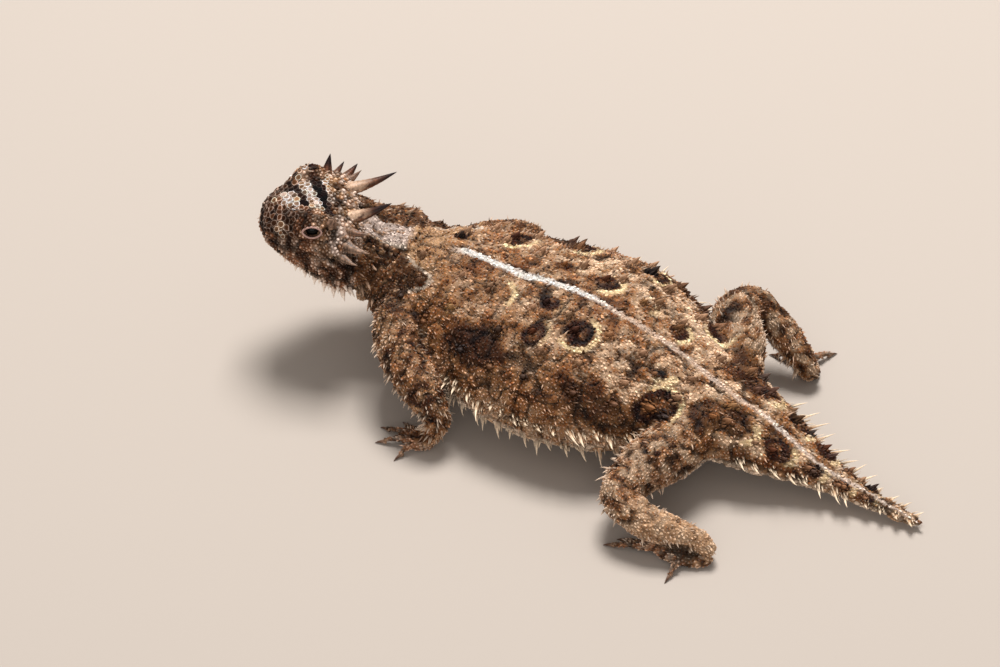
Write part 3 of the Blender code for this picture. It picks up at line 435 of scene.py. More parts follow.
@dataclass(frozen=True)
class Trunk:
    """The flattened body and the tail."""

    half_width: float = 20.5
    rise: float = 13.0
    drop: float = 6.8
    shoulder_x: float = -96.0
    tail_tip_x: float = -3.3
    belly: float = 2.6
    # x, sideways bend, height of the fringe, and shares of the width, rise and drop
    rows: tuple[tuple[float, ...], ...] = (
        (-96.0, 0.5, 12.0, 0.50, 0.74, 0.90),
        (-90.0, 1.0, 10.5, 0.69, 0.85, 0.98),
        (-80.0, 1.5, 9.0, 0.90, 0.95, 0.97),
        (-70.0, 1.8, 8.5, 1.00, 1.00, 0.99),
        (-60.0, 1.8, 8.5, 0.98, 0.96, 1.00),
        (-52.0, 1.6, 8.5, 0.81, 0.78, 0.94),
        (-44.0, 1.4, 8.3, 0.59, 0.57, 0.82),
        (-38.0, 1.3, 7.6, 0.47, 0.45, 0.70),
        (-32.0, 1.2, 6.4, 0.38, 0.345, 0.60),
        (-26.0, 1.1, 4.9, 0.255, 0.23, 0.49),
        (-20.0, 0.9, 3.6, 0.155, 0.155, 0.37),
        (-12.0, 0.7, 2.3, 0.088, 0.11, 0.26),
        (-6.0, 0.6, 1.6, 0.058, 0.08, 0.20),
        (-3.3, 0.6, 1.1, 0.022, 0.035, 0.08),
    )
    atlas: tuple[float, ...] = (0.01, 0.46, 0.98, 0.53)

    def sizes(self, x: Array) -> Array:
        """Bend, fringe height, half width, rise and drop at each x, as columns.

        Args:
            x: Distances along the trunk.

        Returns:
            One row for each x.
        """
        table = np.array(self.rows)
        found = smooth_between(table[:, 0], table[:, 1:], x)
        return found * np.array([1, 1, self.half_width, self.rise, self.drop])

    def rings(self, inset: float, step: float = 1.2, sides: int = 72) -> Array:
        """Rings of points round the trunk and tail.

        Args:
            inset: How far inside the true form, in millimetres.
            step: Millimetres between rings.
            sides: Points in each ring.

        Returns:
            An array of (rings, points, 3).
        """
        x = np.arange(self.shoulder_x - 0.6, self.tail_tip_x + 0.1, step)
        bend, fringe, width, rise, drop = self.sizes(x).T[:, :, None]
        sizes = [shrunk(size, inset) for size in (width, rise, drop)]
        across, high = section(turn(sides)[None], *sizes, crown=2.0, belly=self.belly)
        return np.stack([np.broadcast_to(x[:, None], across.shape), bend + across, fringe + high], 2)

    def surface(self, x: float, degrees: float) -> tuple[Array, Array]:
        """A point of the trunk's skin and the direction out of it. 0 is the right fringe, 90 the back.

        Args:
            x: Where along the trunk.
            degrees: The angle round it.

        Returns:
            The point and the direction.
        """
        a, small = math.radians(degrees), SMALL_ANGLE
        places = []
        for where, angle in ((x, a), (x, a + small), (x, a - small), (x + 0.5, a), (x - 0.5, a)):
            bend, fringe, width, rise, drop = self.sizes(where)[0]
            across, high = section(np.array([angle]), width, rise, drop, crown=2.0, belly=self.belly)
            places.append(np.array([where, bend + across[0], fringe + high[0]]))
        out = unit(np.cross(places[1] - places[2], places[3] - places[4]))
        return places[0], facing(out, places[0] - np.array([x, *self.sizes(x)[0][:2]]))

    def locate(self, points: Array) -> Chart:
        """Where places lie on the trunk and tail.

        Args:
            points: The places, one a row.

        Returns:
            The chart.
        """
        x = np.clip(points[:, 0], self.shoulder_x - 1.0, self.tail_tip_x)
        bend, fringe, width, rise, drop = self.sizes(x).T
        across, high = points[:, 1] - bend, points[:, 2] - fringe
        beyond = np.maximum(self.shoulder_x - points[:, 0], 0) + np.maximum(points[:, 0] - self.tail_tip_x, 0)
        flank = np.clip(across / width, -1, 1)
        back = np.stack([np.ones(len(x)), 0.35 * flank**3, -0.1 * np.abs(flank) ** 3], 1)
        along = (x - self.shoulder_x) / (self.tail_tip_x - self.shoulder_x)
        return charted((across, high), (width, rise, drop), (2.0, self.belly), 2 * beyond, along, back)


@dataclass(frozen=True)
class Head:
    """The skull, in its own frame: ahead of the occiput, to the left, and above."""

    origin: tuple[float, float, float] = (-105.0, -3.0, 26.4)
    yaw: float = 35.0
    pitch: float = 16.0
    roll: float = 3.0
    length: float = 15.3
    half_width: float = 10.0
    depth: float = 14.4
    crown: float = 2.7
    throat: float = 2.3
    rake: tuple[float, float, float] = (0.36, 3.0, 2.0)  # how far the jaws lie back, from what depth, eased
    # share of the length, crown, throat and widest height as shares of the depth, share of the width
    rows: tuple[tuple[float, ...], ...] = (
        (0.0, 0.0, -1.03, -0.44, 0.88),
        (0.13, 0.04, -1.06, -0.44, 1.00),
        (0.32, 0.06, -1.02, -0.44, 0.95),
        (0.50, 0.03, -0.95, -0.45, 0.80),
        (0.70, -0.09, -0.86, -0.47, 0.65),
        (0.86, -0.23, -0.76, -0.50, 0.49),
        (0.955, -0.37, -0.69, -0.53, 0.33),
        (1.0, -0.47, -0.61, -0.55, 0.15),
    )
    mouth: tuple[tuple[float, float], ...] = (
        (0.24, -0.60),
        (0.40, -0.685),
        (0.60, -0.665),
        (0.80, -0.615),
        (0.93, -0.575),
        (1.00, -0.555),
    )
    nostril: tuple[float, float] = (0.93, 62.0)
    brow: tuple[tuple[float, ...], ...] = (
        (6.2, 5.9, 0.15, 0.5),
        (7.0, 5.8, 0.25, 0.95),
        (8.7, 5.1, -0.35, 1.05),
        (10.3, 4.1, -1.5, 0.85),
        (11.6, 3.2, -2.75, 0.5),
        (12.3, 2.7, -3.6, 0.25),
    )
    eye_place: tuple[float, float, float] = (7.1, 5.6, -2.0)
    eye_radius: float = 2.0
    eye_tilt: float = 14.0
    eye_facing: tuple[float, float] = (0.16, 0.30)
    lid_reach: tuple[float, float, float] = (2.75, 3.2, 2.7)
    opening: tuple[float, float] = (3.1, 1.9)
    atlas: tuple[float, ...] = (0.01, 0.23, 0.30, 0.21)

    @property
    def axes(self) -> Array:
        """The forward, left and up directions, one a row.

        Returns:
            The three directions.
        """
        yaw, pitch, roll = np.radians([self.yaw, self.pitch, self.roll])
        level = math.cos(pitch)
        forward = np.array([-math.cos(yaw) * level, -math.sin(yaw) * level, math.sin(pitch)])
        left = np.array([math.sin(yaw), -math.cos(yaw), 0.0])
        up, c, s = np.cross(forward, left), math.cos(roll), math.sin(roll)
        return np.array([forward, left * c - up * s, up * c + left * s])

    def point(self, ahead: Array, left: Array, above: Array) -> Array:
        """A place given in the head's frame, in body coordinates."""
        ahead = ahead - self.raked(above)
        return np.array(self.origin) + np.stack(np.broadcast_arrays(ahead, left, above), -1) @ self.axes

    def raked(self, above: Array) -> Array:
        """How far back the skull lies at a height, as the jaws slope back from the snout.

        Args:
            above: Heights in the head's frame.

        Returns:
            A distance for each height.
        """
        share, start, ease = self.rake
        depth = np.maximum(0.0, -start - np.asarray(above, float))
        return share * depth**2 / (depth + ease)

    def vector(self, ahead: float, left: float, above: float) -> Array:
        """A direction given in the head's frame, in body coordinates."""
        return unit(np.array([ahead, left, above]) @ self.axes)

    def local(self, points: Array) -> Array:
        """Places in the head's frame: ahead, left and above, as columns.

        Args:
            points: The places, one a row.

        Returns:
            One row for each place.
        """
        found = (points - np.array(self.origin)) @ self.axes.T
        found[:, 0] += self.raked(found[:, 2])
        return found

    def sizes(self, share: Array) -> Array:
        """Crown, throat and widest height and half width, as columns.

        Args:
            share: Shares of the head's length.

        Returns:
            One row for each share.
        """
        table = np.array(self.rows)
        found = smooth_between(table[:, 0], table[:, 1:], share)
        return found * np.array([self.depth, self.depth, self.depth, self.half_width])

    def ring(self, share: float, angles: Array, inset: float = 0.0) -> Array:
        """Points round the head. Angle 0 is its left side and 90 degrees the crown.

        Args:
            share: Share of its length, from 0 to 1.
            angles: The angles round it, in radians.
            inset: How far inside the true form, in millimetres.

        Returns:
            A point for each angle.
        """
        crown, throat, widest, width = self.sizes(share)[0]
        sizes = [shrunk(size, inset) for size in (width, crown - widest, widest - throat)]
        across, high = section(angles, *sizes, crown=self.crown, belly=self.throat)
        return self.point(np.full(len(angles), share * self.length), across, widest + high)

    def surface(self, share: float, degrees: float) -> tuple[Array, Array]:
        """A point of the head's skin and the direction out of it.

        Args:
            share: Share of its length, from 0 to 1.
            degrees: The angle round it.

        Returns:
            The point and the direction.
        """
        a, small = math.radians(degrees), SMALL_ANGLE
        here = self.ring(share, np.array([a - small, a, a + small]))
        ahead, behind = (self.ring(at, np.array([a]))[0] for at in (min(share + 0.02, 1.0), share - 0.02))
        middle = self.point(share * self.length, 0.0, self.sizes(share)[0][2])
        return here[1], facing(unit(np.cross(here[2] - here[0], ahead - behind)), here[1] - middle)

    def angle_at(self, share: float, high: float) -> float:
        """The angle round the head at which its skin is at a height in the head's frame.

        Args:
            share: Share of its length, from 0 to 1.
            high: The height.

        Returns:
            The angle in degrees.
        """
        crown, throat, widest, _ = self.sizes(share)[0]
        if high >= widest:
            return math.degrees(math.asin(min(1.0, (high - widest) / (crown - widest)) ** (self.crown / 2)))
        return -math.degrees(math.asin(min(1.0, (widest - high) / (widest - throat)) ** (self.throat / 2)))

    def mouth_line(self, side: int, samples: int = 40) -> tuple[Array, Array]:
        """Places and outward directions along the line of the mouth, from its corner to the snout.

        Args:
            side: 1 for the left, -1 for the right.
            samples: How many places.

        Returns:
            The places and the directions.
        """
        rows = np.array(self.mouth)
        places, outs = [], []
        for share in rows[0, 0] + (1.0 - rows[0, 0]) * np.linspace(0, 1, samples) ** 0.8:
            high = smooth_between(rows[:, 0], rows[:, 1:], share)[0, 0] * self.depth
            at = min(share, 0.985)
            place, out = self.surface(at, self.angle_at(at, high))
            places.append(place)
            outs.append(out)
        places, outs = np.array(places), np.array(outs)
        if side < 0:
            left = self.axes[1]
            places = places - 2 * np.outer((places - np.array(self.origin)) @ left, left)
            outs = outs - 2 * np.outer(outs @ left, left)
        return places, outs

    def eye_frame(self, side: int) -> tuple[Array, Array]:
        """The middle of an eye, and the directions out of the head, forwards and up along its opening.

        Args:
            side: 1 for the left, -1 for the right.

        Returns:
            The middle, and the three directions, one a row.
        """
        ahead, left, above = self.eye_place
        tilt = math.radians(self.eye_tilt)
        out = self.vector(self.eye_facing[0], side, self.eye_facing[1])
        forward = self.vector(math.cos(tilt), 0.0, -math.sin(tilt))
        forward = unit(forward - out * (forward @ out))
        top = facing(np.cross(out, forward), self.axes[2])
        return self.point(ahead, left * side, above), np.array([out, forward, top])

    def shells(self, inset: float) -> list[Shell]:
        """The skull, the lids and the brows.

        Args:
            inset: How far inside the true form, in millimetres.

        Returns:
            The closed shells.
        """
        shares = np.concatenate([np.linspace(0, 0.9, 30), np.linspace(0.92, 1.0, 8)])
        shells = [loft(np.array([self.ring(share, turn(72), inset) for share in shares]))]
        for side in (1, -1):
            centre, axes = self.eye_frame(side)
            shells.append(ellipsoid(centre, axes, tuple(reach - inset * 0.5 for reach in self.lid_reach)))
            ridge = np.array(self.brow) * (1, side, 1, 1)
            fine = smooth_between(np.linspace(0, 1, len(ridge)), ridge, np.linspace(0, 1, 24))
            centres = self.point(*fine[:, :3].T)
            frames = frames_along(centres, tuple(self.axes[2]))
            shells.append(tube(centres, frames, shrunk(fine[:, 3], inset * 0.5), 16))
        return shells

    def locate(self, points: Array) -> Chart:
        """Where places lie on the head.

        Args:
            points: The places, one a row.

        Returns:
            The chart.
        """
        ahead, left, above = self.local(points).T
        share = np.clip(ahead / self.length, 0, 1)
        crown, throat, widest, width = self.sizes(share).T
        high, rise, drop = above - widest, crown - widest, widest - throat
        beyond = np.maximum(-ahead, 0) * 1.5 + np.maximum(ahead - self.length, 0) * 0.4
        droop = step_up(-high / np.where(high > 0, rise, drop), 0.0, 0.8)
        back = -self.axes[0] - self.axes[2] * droop[:, None] * 0.7
        return charted((left, high), (width, rise, drop), (self.crown, self.throat), beyond, share, back)


@dataclass(frozen=True)
class Neck:
    """The neck, which turns from the trunk's front to the back of the head."""

    trunk: Trunk
    head: Head
    half_width: float = 8.6
    rise: float = 5.4
    drop: float = 7.0
    axis: float = -7.6
    tuck: float = 0.9
    belly: float = 2.3
    sides: int = 64  # points in each of its rings
    atlas: tuple[float, ...] = (0.33, 0.23, 0.15, 0.21)

    def course(self, count: int, inset: float = 0.0) -> tuple[Array, Array, Array, Array]:
        """Middles, side and top directions and sizes along the neck, from the trunk to the head.

        Args:
            count: How many steps.
            inset: How far inside the true form, in millimetres.

        Returns:
            The four, with a row for each step.
        """
        bend, fringe, width, rise, drop = self.trunk.sizes(self.trunk.shoulder_x)[0]
        start_at = np.array([self.trunk.shoulder_x - GAP / 2, bend, fringe])
        forward, left, up = self.head.axes
        head_end = np.array(self.head.origin) + forward * self.tuck + up * self.axis
        reach = np.linalg.norm(head_end - start_at)
        t = np.linspace(0, 1, count)[:, None]
        blend = t * t * (3 - 2 * t)
        start = start_at + np.array([-1.0, 0.0, 0.0]) * reach * 0.9 * t
        finish = head_end - forward * reach * 0.9 * (1 - t)
        side = unit(np.array([0.0, -1.0, 0.0]) * (1 - blend) + left * blend)
        top = unit(np.array([0.0, 0.0, 1.0]) * (1 - blend) + up * blend)
        first, last = np.array([width, rise, drop]), np.array([self.half_width, self.rise, self.drop])
        return start * (1 - blend) + finish * blend, side, top, first * (1 - blend) + last * blend - inset

    def rings(self, inset: float) -> Array:
        """Rings of points round the neck.

        Args:
            inset: How far inside the true form, in millimetres.

        Returns:
            An array of (rings, points, 3).
        """
        centres, side, top, sizes = self.course(20, inset)
        width, rise, drop = sizes.T[:, :, None]
        across, high = section(turn(self.sides)[None], width, rise, drop, crown=2.0, belly=self.belly)
        return centres[:, None] + across[..., None] * side[:, None] + high[..., None] * top[:, None]

    def surface(self, share: float, degrees: float) -> tuple[Array, Array, Array]:
        """A point of the neck's skin, the direction out of it, and the direction towards the trunk.

        Args:
            share: Share of its length, from 0 to 1.
            degrees: The angle round it.

        Returns:
            The point and the two directions.
        """
        rings = self.rings(0.0)
        k = int(np.clip(share * (len(rings) - 1), 1, len(rings) - 2))
        j = round(degrees / 360 * self.sides) % self.sides
        around = rings[k][(j + 1) % self.sides] - rings[k][j - 1]
        along, place = rings[k - 1][j] - rings[k + 1][j], rings[k][j]
        return place, facing(unit(np.cross(around, along)), place - rings[k].mean(axis=0)), unit(along)

    def locate(self, points: Array) -> Chart:
        """Where places lie on the neck.

        Args:
            points: The places, one a row.

        Returns:
            The chart.
        """
        centres, side, top, sizes = self.course(25)
        tangents = unit(np.gradient(centres, axis=0))
        near = np.argmin(((points[:, None] - centres[None]) ** 2).sum(-1), axis=1)
        offset = points - centres[near]
        across, high = (offset * side[near]).sum(1), (offset * top[near]).sum(1)
        lengthwise = (offset * tangents[near]).sum(1)
        last = len(centres) - 1
        beyond = (near == 0) * np.maximum(-lengthwise, 0) + (near == last) * np.maximum(lengthwise, 0)
        powers = (2.0, self.belly)
        return charted((across, high), tuple(sizes[near].T), powers, 2 * beyond, near / last, -tangents[near])


@dataclass(frozen=True)
class Limb:
    """A leg as a bent tapering tube."""

    name: str
    knots: tuple[tuple[float, float, float, float], ...]
    pieces: tuple[str, str, str]
    atlas: tuple[float, ...]
    samples: int = 61

    def course(self) -> tuple[Array, Array, Array]:
        """Middles, radii and frames along the leg.

        Returns:
            The three, with a row for each sample.
        """
        knots = np.array(self.knots)
        lengths = np.linalg.norm(np.diff(knots[:, :3], axis=0), axis=1)
        along = np.concatenate([[0.0], np.cumsum(lengths)])
        rows = smooth_between(along / along[-1], knots, np.linspace(0, 1, self.samples))
        return rows[:, :3], rows[:, 3], frames_along(rows[:, :3], reach=self.samples // 8)

    def at(self, share: float) -> tuple[Array, float, Array]:
        """The middle, radius and frame at a share of the length.

        Args:
            share: Share of its length, from 0 to 1.

        Returns:
            The three.
        """
        centres, radii, frames = self.course()
        i = int(np.clip(share * (self.samples - 1), 0, self.samples - 2))
        t = share * (self.samples - 1) - i
        frame = unit(frames[i] * (1 - t) + frames[i + 1] * t)
        return centres[i] * (1 - t) + centres[i + 1] * t, radii[i] * (1 - t) + radii[i + 1] * t, frame

    def shell(self, inset: float) -> Shell:
        """The leg's skin."""
        centres, radii, frames = self.course()
        return tube(centres, frames, shrunk(radii, inset), 28)

    def locate(self, points: Array) -> Chart:
        """Where places lie on the leg.

        Args:
            points: The places, one a row.

        Returns:
            The chart.
        """
        centres, radii, frames = self.course()
        distance = np.sqrt(((points[:, None] - centres[None]) ** 2).sum(-1)) - radii[None]
        near = np.argmin(distance, axis=1)
        offset = points - centres[near]
        across, high = (offset * frames[near, 1]).sum(1), (offset * frames[near, 2]).sum(1)
        return Chart(
            distance.min(1),
            near / (self.samples - 1),
            np.degrees(np.arctan2(high, across)) % 360,
            frames[near, 0],
            unit(offset)[:, 2],
        )


@dataclass(frozen=True)
class Foot:
    """A sole with five toes and their claws."""

    name: str
    centre: tuple[float, float]
    heading: float
    long_radius: float
    short_radius: float
    toes: tuple[tuple[float, float], ...]
    hand: int
    atlas: tuple[float, ...]
    sole_height: float = 1.5
    toe_radius: float = 0.85
    claw_length: float = 1.4

    def toe(self, k: int, count: int = 12) -> tuple[Array, Array, Array]:
        """Middles, radii and outward direction of one toe.

        Args:
            k: Which toe.
            count: How many steps.

        Returns:
            The three, with a row of the first two for each step.
        """
        angle, length = self.toes[k]
        a = math.radians(self.heading + self.hand * angle)
        out = np.array([-math.cos(a), -math.sin(a), 0.0])
        s = np.linspace(0, 1, count)[:, None]
        base, tip = self.middle + out, self.middle + out * length - np.array([0, 0, 0.35])
        middles = base * (1 - s) + tip * s + np.array([0, 0, 0.5]) * np.sin(s * math.pi)
        return middles, self.toe_radius * (1.05 - 0.35 * s[:, 0]), out

    @property
    def middle(self) -> Array:
        """The middle of the sole."""
        return np.array([*self.centre, self.sole_height - 0.6])

    @property
    def axes(self) -> Array:
        """The directions ahead, across and up, one a row."""
        a = math.radians(self.heading)
        return np.array([[-math.cos(a), -math.sin(a), 0.0], [-math.sin(a), math.cos(a), 0.0], [0, 0, 1.0]])

    def shells(self, inset: float) -> list[Shell]:
        """The sole and toes.

        Args:
            inset: How far inside the true form, in millimetres.

        Returns:
            The closed shells.
        """
        radii = (self.long_radius - inset, self.short_radius - inset, self.sole_height - inset * 0.5)
        shells = [ellipsoid(self.middle, self.axes, radii)]
        for k in range(len(self.toes)):
            middles, radii, _ = self.toe(k)
            knuckles = 1 + 0.10 * np.cos(np.linspace(0, 1, len(middles)) * 4 * math.pi)
            shells.append(tube(middles, frames_along(middles), shrunk(radii, inset * 0.6) * knuckles, 14))
        return shells

    def locate(self, points: Array) -> Chart:
        """Where places lie on the foot.

        Args:
            points: The places, one a row.

        Returns:
            The chart.
        """
        (ahead, across, _), offset = self.axes, points - self.middle
        u, v = offset @ ahead / self.long_radius, offset @ across / self.short_radius
        w = offset[:, 2] / self.sole_height
        size = np.sqrt(u * u + v * v + w * w)
        distance = np.linalg.norm(offset, axis=1) * (1 - 1 / np.maximum(size, TINY))
        along, back = 0.2 + 0.1 * u, np.broadcast_to(ahead, points.shape).copy()
        around = np.degrees(np.arctan2(w, v)) % 360
        top = np.clip(w / np.maximum(size, TINY), -1, 1)
        for k in range(len(self.toes)):
            middles, radii, out = self.toe(k)
            gaps = np.linalg.norm(points[:, None] - middles[None], axis=2) - radii[None]
            near = np.argmin(gaps, axis=1)
            closer = gaps.min(1) < distance
            lift = points - middles[near]
            side = np.cross(out, [0, 0, 1.0])
            distance = np.where(closer, gaps.min(1), distance)
            along = np.where(closer, 0.36 + 0.12 * k + 0.1 * near / len(middles), along)
            around = np.where(closer, np.degrees(np.arctan2(lift[:, 2], lift @ side)) % 360, around)
            back = np.where(closer[:, None], out, back)
            top = np.where(closer, unit(lift)[:, 2], top)
        return Chart(distance, along, around, back, top)


HAND_TOES = ((-84, 3.6), (-50, 4.8), (-20, 6.2), (10, 5.8), (58, 4.4))
FOOT_TOES = ((-46, 5.2), (-24, 7.6), (-8, 10.0), (1, 11.6), (76, 5.0))
HAND_PIECES = ("upper_arm", "forearm", "hand")
FOOT_PIECES = ("thigh", "shank", "foot")


def four_limbs() -> list[Limb]:
    """The legs, from the body to the wrist or ankle.

    Returns:
        The left and right forelegs, then the left and right hindlegs.
    """
    return [
        Limb(
            "foreleg_left",
            (
                (-93.5, -5.0, 13.0, 4.8),
                (-91.4, -12.5, 12.0, 4.7),
                (-86.4, -17.5, 10.2, 4.1),
                (-81.2, -20.4, 7.9, 3.2),
                (-79.2, -21.2, 5.0, 2.4),
                (-80.2, -21.8, 2.2, 1.9),
                (-82.0, -22.5, 1.3, 1.7),
            ),
            HAND_PIECES,
            (0.50, 0.23, 0.24, 0.21),
        ),
        Limb(
            "foreleg_right",
            (
                (-92.5, 7.0, 13.0, 4.4),
                (-91.0, 14.0, 12.0, 4.0),
                (-89.0, 19.0, 10.3, 3.5),
                (-88.5, 22.6, 8.0, 2.9),
                (-91.0, 24.4, 5.0, 2.2),
                (-94.0, 25.3, 2.4, 1.8),
                (-96.0, 26.0, 1.3, 1.7),
            ),
            HAND_PIECES,
            (0.75, 0.23, 0.24, 0.21),
        ),
        Limb(
            "hindleg_left",
            (
                (-41.0, -3.0, 8.6, 5.0),
                (-43.0, -12.0, 8.0, 5.1),
                (-45.0, -19.0, 7.4, 4.1),
                (-44.3, -23.7, 6.6, 3.4),
                (-40.0, -24.8, 5.6, 3.1),
                (-34.0, -23.5, 4.1, 2.6),
                (-30.0, -22.3, 2.6, 2.0),
                (-28.9, -22.6, 1.5, 1.8),
            ),
            FOOT_PIECES,
            (0.01, 0.01, 0.24, 0.21),
        ),
        Limb(
            "hindleg_right",
            (
                (-41.0, 5.5, 8.6, 5.0),
                (-44.5, 13.5, 10.4, 4.9),
                (-47.5, 19.5, 12.2, 4.0),
                (-46.6, 22.9, 11.4, 3.4),
                (-42.5, 23.6, 8.4, 3.0),
                (-38.2, 23.0, 5.0, 2.5),
                (-35.8, 22.4, 2.7, 2.0),
                (-35.4, 23.2, 1.5, 1.8),
            ),
            FOOT_PIECES,
            (0.26, 0.01, 0.24, 0.21),
        ),
    ]


def four_feet() -> list[Foot]:
    """The hands and feet.

    Returns:
        The hands and feet, in the order of the legs.
    """
    return [
        Foot("foreleg_left", (-81.8, -22.4), 18.0, 2.9, 2.3, HAND_TOES, 1, (0.51, 0.01, 0.11, 0.21)),
        Foot("foreleg_right", (-96.2, 26.2), -22.0, 2.9, 2.3, HAND_TOES, -1, (0.63, 0.01, 0.11, 0.21)),
        Foot("hindleg_left", (-32.6, -24.3), 15.0, 4.9, 2.3, FOOT_TOES, 1, (0.75, 0.01, 0.11, 0.21)),
        Foot("hindleg_right", (-38.4, 25.9), -42.0, 4.9, 2.3, FOOT_TOES, -1, (0.87, 0.01, 0.11, 0.21)),
    ]


@dataclass
class Sites:
    """Places on the skin, with what the scales and markings there need to know."""

    points: Array
    part: Array
    form: Array
    along: Array
    around: Array
    back: Array
    top: Array

    def of(self, part: Part) -> Array:
        """Which of the places lie on that part."""
        return self.part == part.value

    def only(self, mask: Array) -> "Sites":
        """Some of the places."""
        return Sites(*(getattr(self, name)[mask] for name in Sites.__dataclass_fields__))


@dataclass
class Animal:
    """All the forms in their shared place."""

    trunk: Trunk = field(default_factory=Trunk)
    head: Head = field(default_factory=Head)
    limbs: list[Limb] = field(default_factory=four_limbs)
    feet: list[Foot] = field(default_factory=four_feet)

    def __post_init__(self) -> None:
        """Adds the neck between the trunk and the head."""
        self.neck = Neck(self.trunk, self.head)

    @property
    def forms(self) -> list[tuple[Part, object]]:
        """Every form with the part that it is."""
        fixed = [(Part.TRUNK, self.trunk), (Part.NECK, self.neck), (Part.HEAD, self.head)]
        return fixed + [(Part.LIMB, limb) for limb in self.limbs] + [(Part.FOOT, foot) for foot in self.feet]

    def shells(self, inset: float) -> list[Shell]:
        """The closed shells that the skin is joined from.

        Args:
            inset: How far inside the true form, in millimetres.

        Returns:
            The closed shells.
        """
        shells = [loft(self.trunk.rings(inset)), loft(self.neck.rings(inset))]
        shells += self.head.shells(inset)
        shells += [limb.shell(inset) for limb in self.limbs]
        return shells + [shell for foot in self.feet for shell in foot.shells(inset)]

    def survey(self, points: Array) -> Sites:
        """Which form each place lies on, and where on it.

        Args:
            points: The places, one a row.

        Returns:
            The places, with what is known of them.
        """
        charts = [form.locate(points) for _, form in self.forms]
        distance = np.stack([chart.distance for chart in charts], 1)
        form = np.argmin(distance, axis=1)
        rows = np.arange(len(points))

        def pick(name: str) -> Array:
            """One of the charts' columns, from the form that each place lies on."""
            return np.stack([getattr(chart, name) for chart in charts], 1)[rows, form]

        part = np.array([kind.value for kind, _ in self.forms])[form]
        return Sites(points, part, form, pick("along"), pick("around"), pick("back"), pick("top"))

    def unwrapped(self, sites: Sites) -> Array:
        """The place of each site on an unwrap of the skin's own shape.

        Args:
            sites: The places.

        Returns:
            Two shares of the map for each place.
        """
        boxes = np.array([form.atlas for _, form in self.forms])[sites.form]
        u = boxes[:, 0] + boxes[:, 2] * np.clip(sites.along, 0, 1)
        return np.stack([u, boxes[:, 1] + boxes[:, 3] * sites.around / 360], 1)


def placed(name: str, data: bpy.types.ID) -> bpy.types.Object:
    """A new object of the scene that holds the data.

    Args:
        name: The object's name.
        data: Its mesh, camera or light.

    Returns:
        The object.
    """
    made = bpy.data.objects.new(name, data)
    bpy.context.scene.collection.objects.link(made)
    return made


# ---------------------------------------------------------------- finishes


class Shader:
    """A material with its shader, and the nodes that give it grain."""

    def __init__(self, name: str, **values: float) -> None:
        """A new material, with the shader's sockets set by name, with _ for a space.

        Args:
            name: The material's name.
            values: The sockets' values.
        """
        self.material = bpy.data.materials.new(name)
        self.material.use_nodes = True
        self.tree = self.material.node_tree
        self.inputs = self.tree.nodes["Principled BSDF"].inputs
        for socket, value in values.items():
            self.inputs[socket.replace("_", " ")].default_value = value

    def node(self, kind: str, links: dict, values: dict) -> bpy.types.ShaderNode:
        """A node of a kind, with the sockets that feed its inputs and the values of the rest.

        Args:
            kind: Its type, without the word that all types start with.
            links: The sockets that feed its inputs, by name.
            values: The values of the rest, by name.

        Returns:
            The node.
        """
        made = self.tree.nodes.new(f"ShaderNode{kind}")
        for name, value in values.items():
            made.inputs[name].default_value = value
        for name, source in links.items():
            self.tree.links.new(source, made.inputs[name])
        return made

    def tint(self) -> bpy.types.NodeSocket:
        """The colours of the attribute "coat".

        Returns:
            The socket to link from.
        """
        made = self.node("Attribute", {}, {})
        made.attribute_name = "coat"
        return made.outputs["Color"]

    def noise(self, size_mm: float, **values: float) -> bpy.types.NodeSocket:
        """Noise of a size in the piece's own space.

        Args:
            size_mm: The size of its grain.
            values: The values of its other sockets.

        Returns:
            The socket to link from.
        """
        place = self.node("TexCoord", {}, {})
        stretch = {"Scale": Vector((1, 1, 1)) / (size_mm * MM)}
        scale = self.node("Mapping", {"Vector": place.outputs["Object"]}, stretch)
        made = self.node("TexNoise", {"Vector": scale.outputs["Vector"]}, {"Scale": 1.0} | values)
        return made.outputs["Fac"]

    def ranged(self, source: bpy.types.NodeSocket, *ends: float) -> bpy.types.NodeSocket:
        """The source's values moved from the first two ends to the last two."""
        names = ("From Min", "From Max", "To Min", "To Max")
        return self.node("MapRange", {"Value": source}, dict(zip(names, ends))).outputs["Result"]

    def shaded(self, colour: bpy.types.NodeSocket, by: bpy.types.NodeSocket) -> bpy.types.NodeSocket:
        """A colour made lighter or darker by a number.

        Args:
            colour: The colour's socket.
            by: The number's socket.

        Returns:
            The socket to link from.
        """
        made = self.node("VectorMath", {}, {})
        made.operation = "SCALE"
        self.tree.links.new(colour, made.inputs[0])
        self.tree.links.new(by, made.inputs["Scale"])
        return made.outputs[0]

    def feed(self, **sources: bpy.types.NodeSocket) -> None:
        """Links sources to the shader's sockets, by name, with _ for a space."""
        for name, source in sources.items():
            self.tree.links.new(source, self.inputs[name.replace("_", " ")])

    def bump(self, height: bpy.types.NodeSocket, depth_mm: float, strength: float) -> None:
        """Gives the shader a bump from a height."""
        values = {"Distance": depth_mm * MM, "Strength": strength}
        self.feed(Normal=self.node("Bump", {"Height": height}, values).outputs["Normal"])


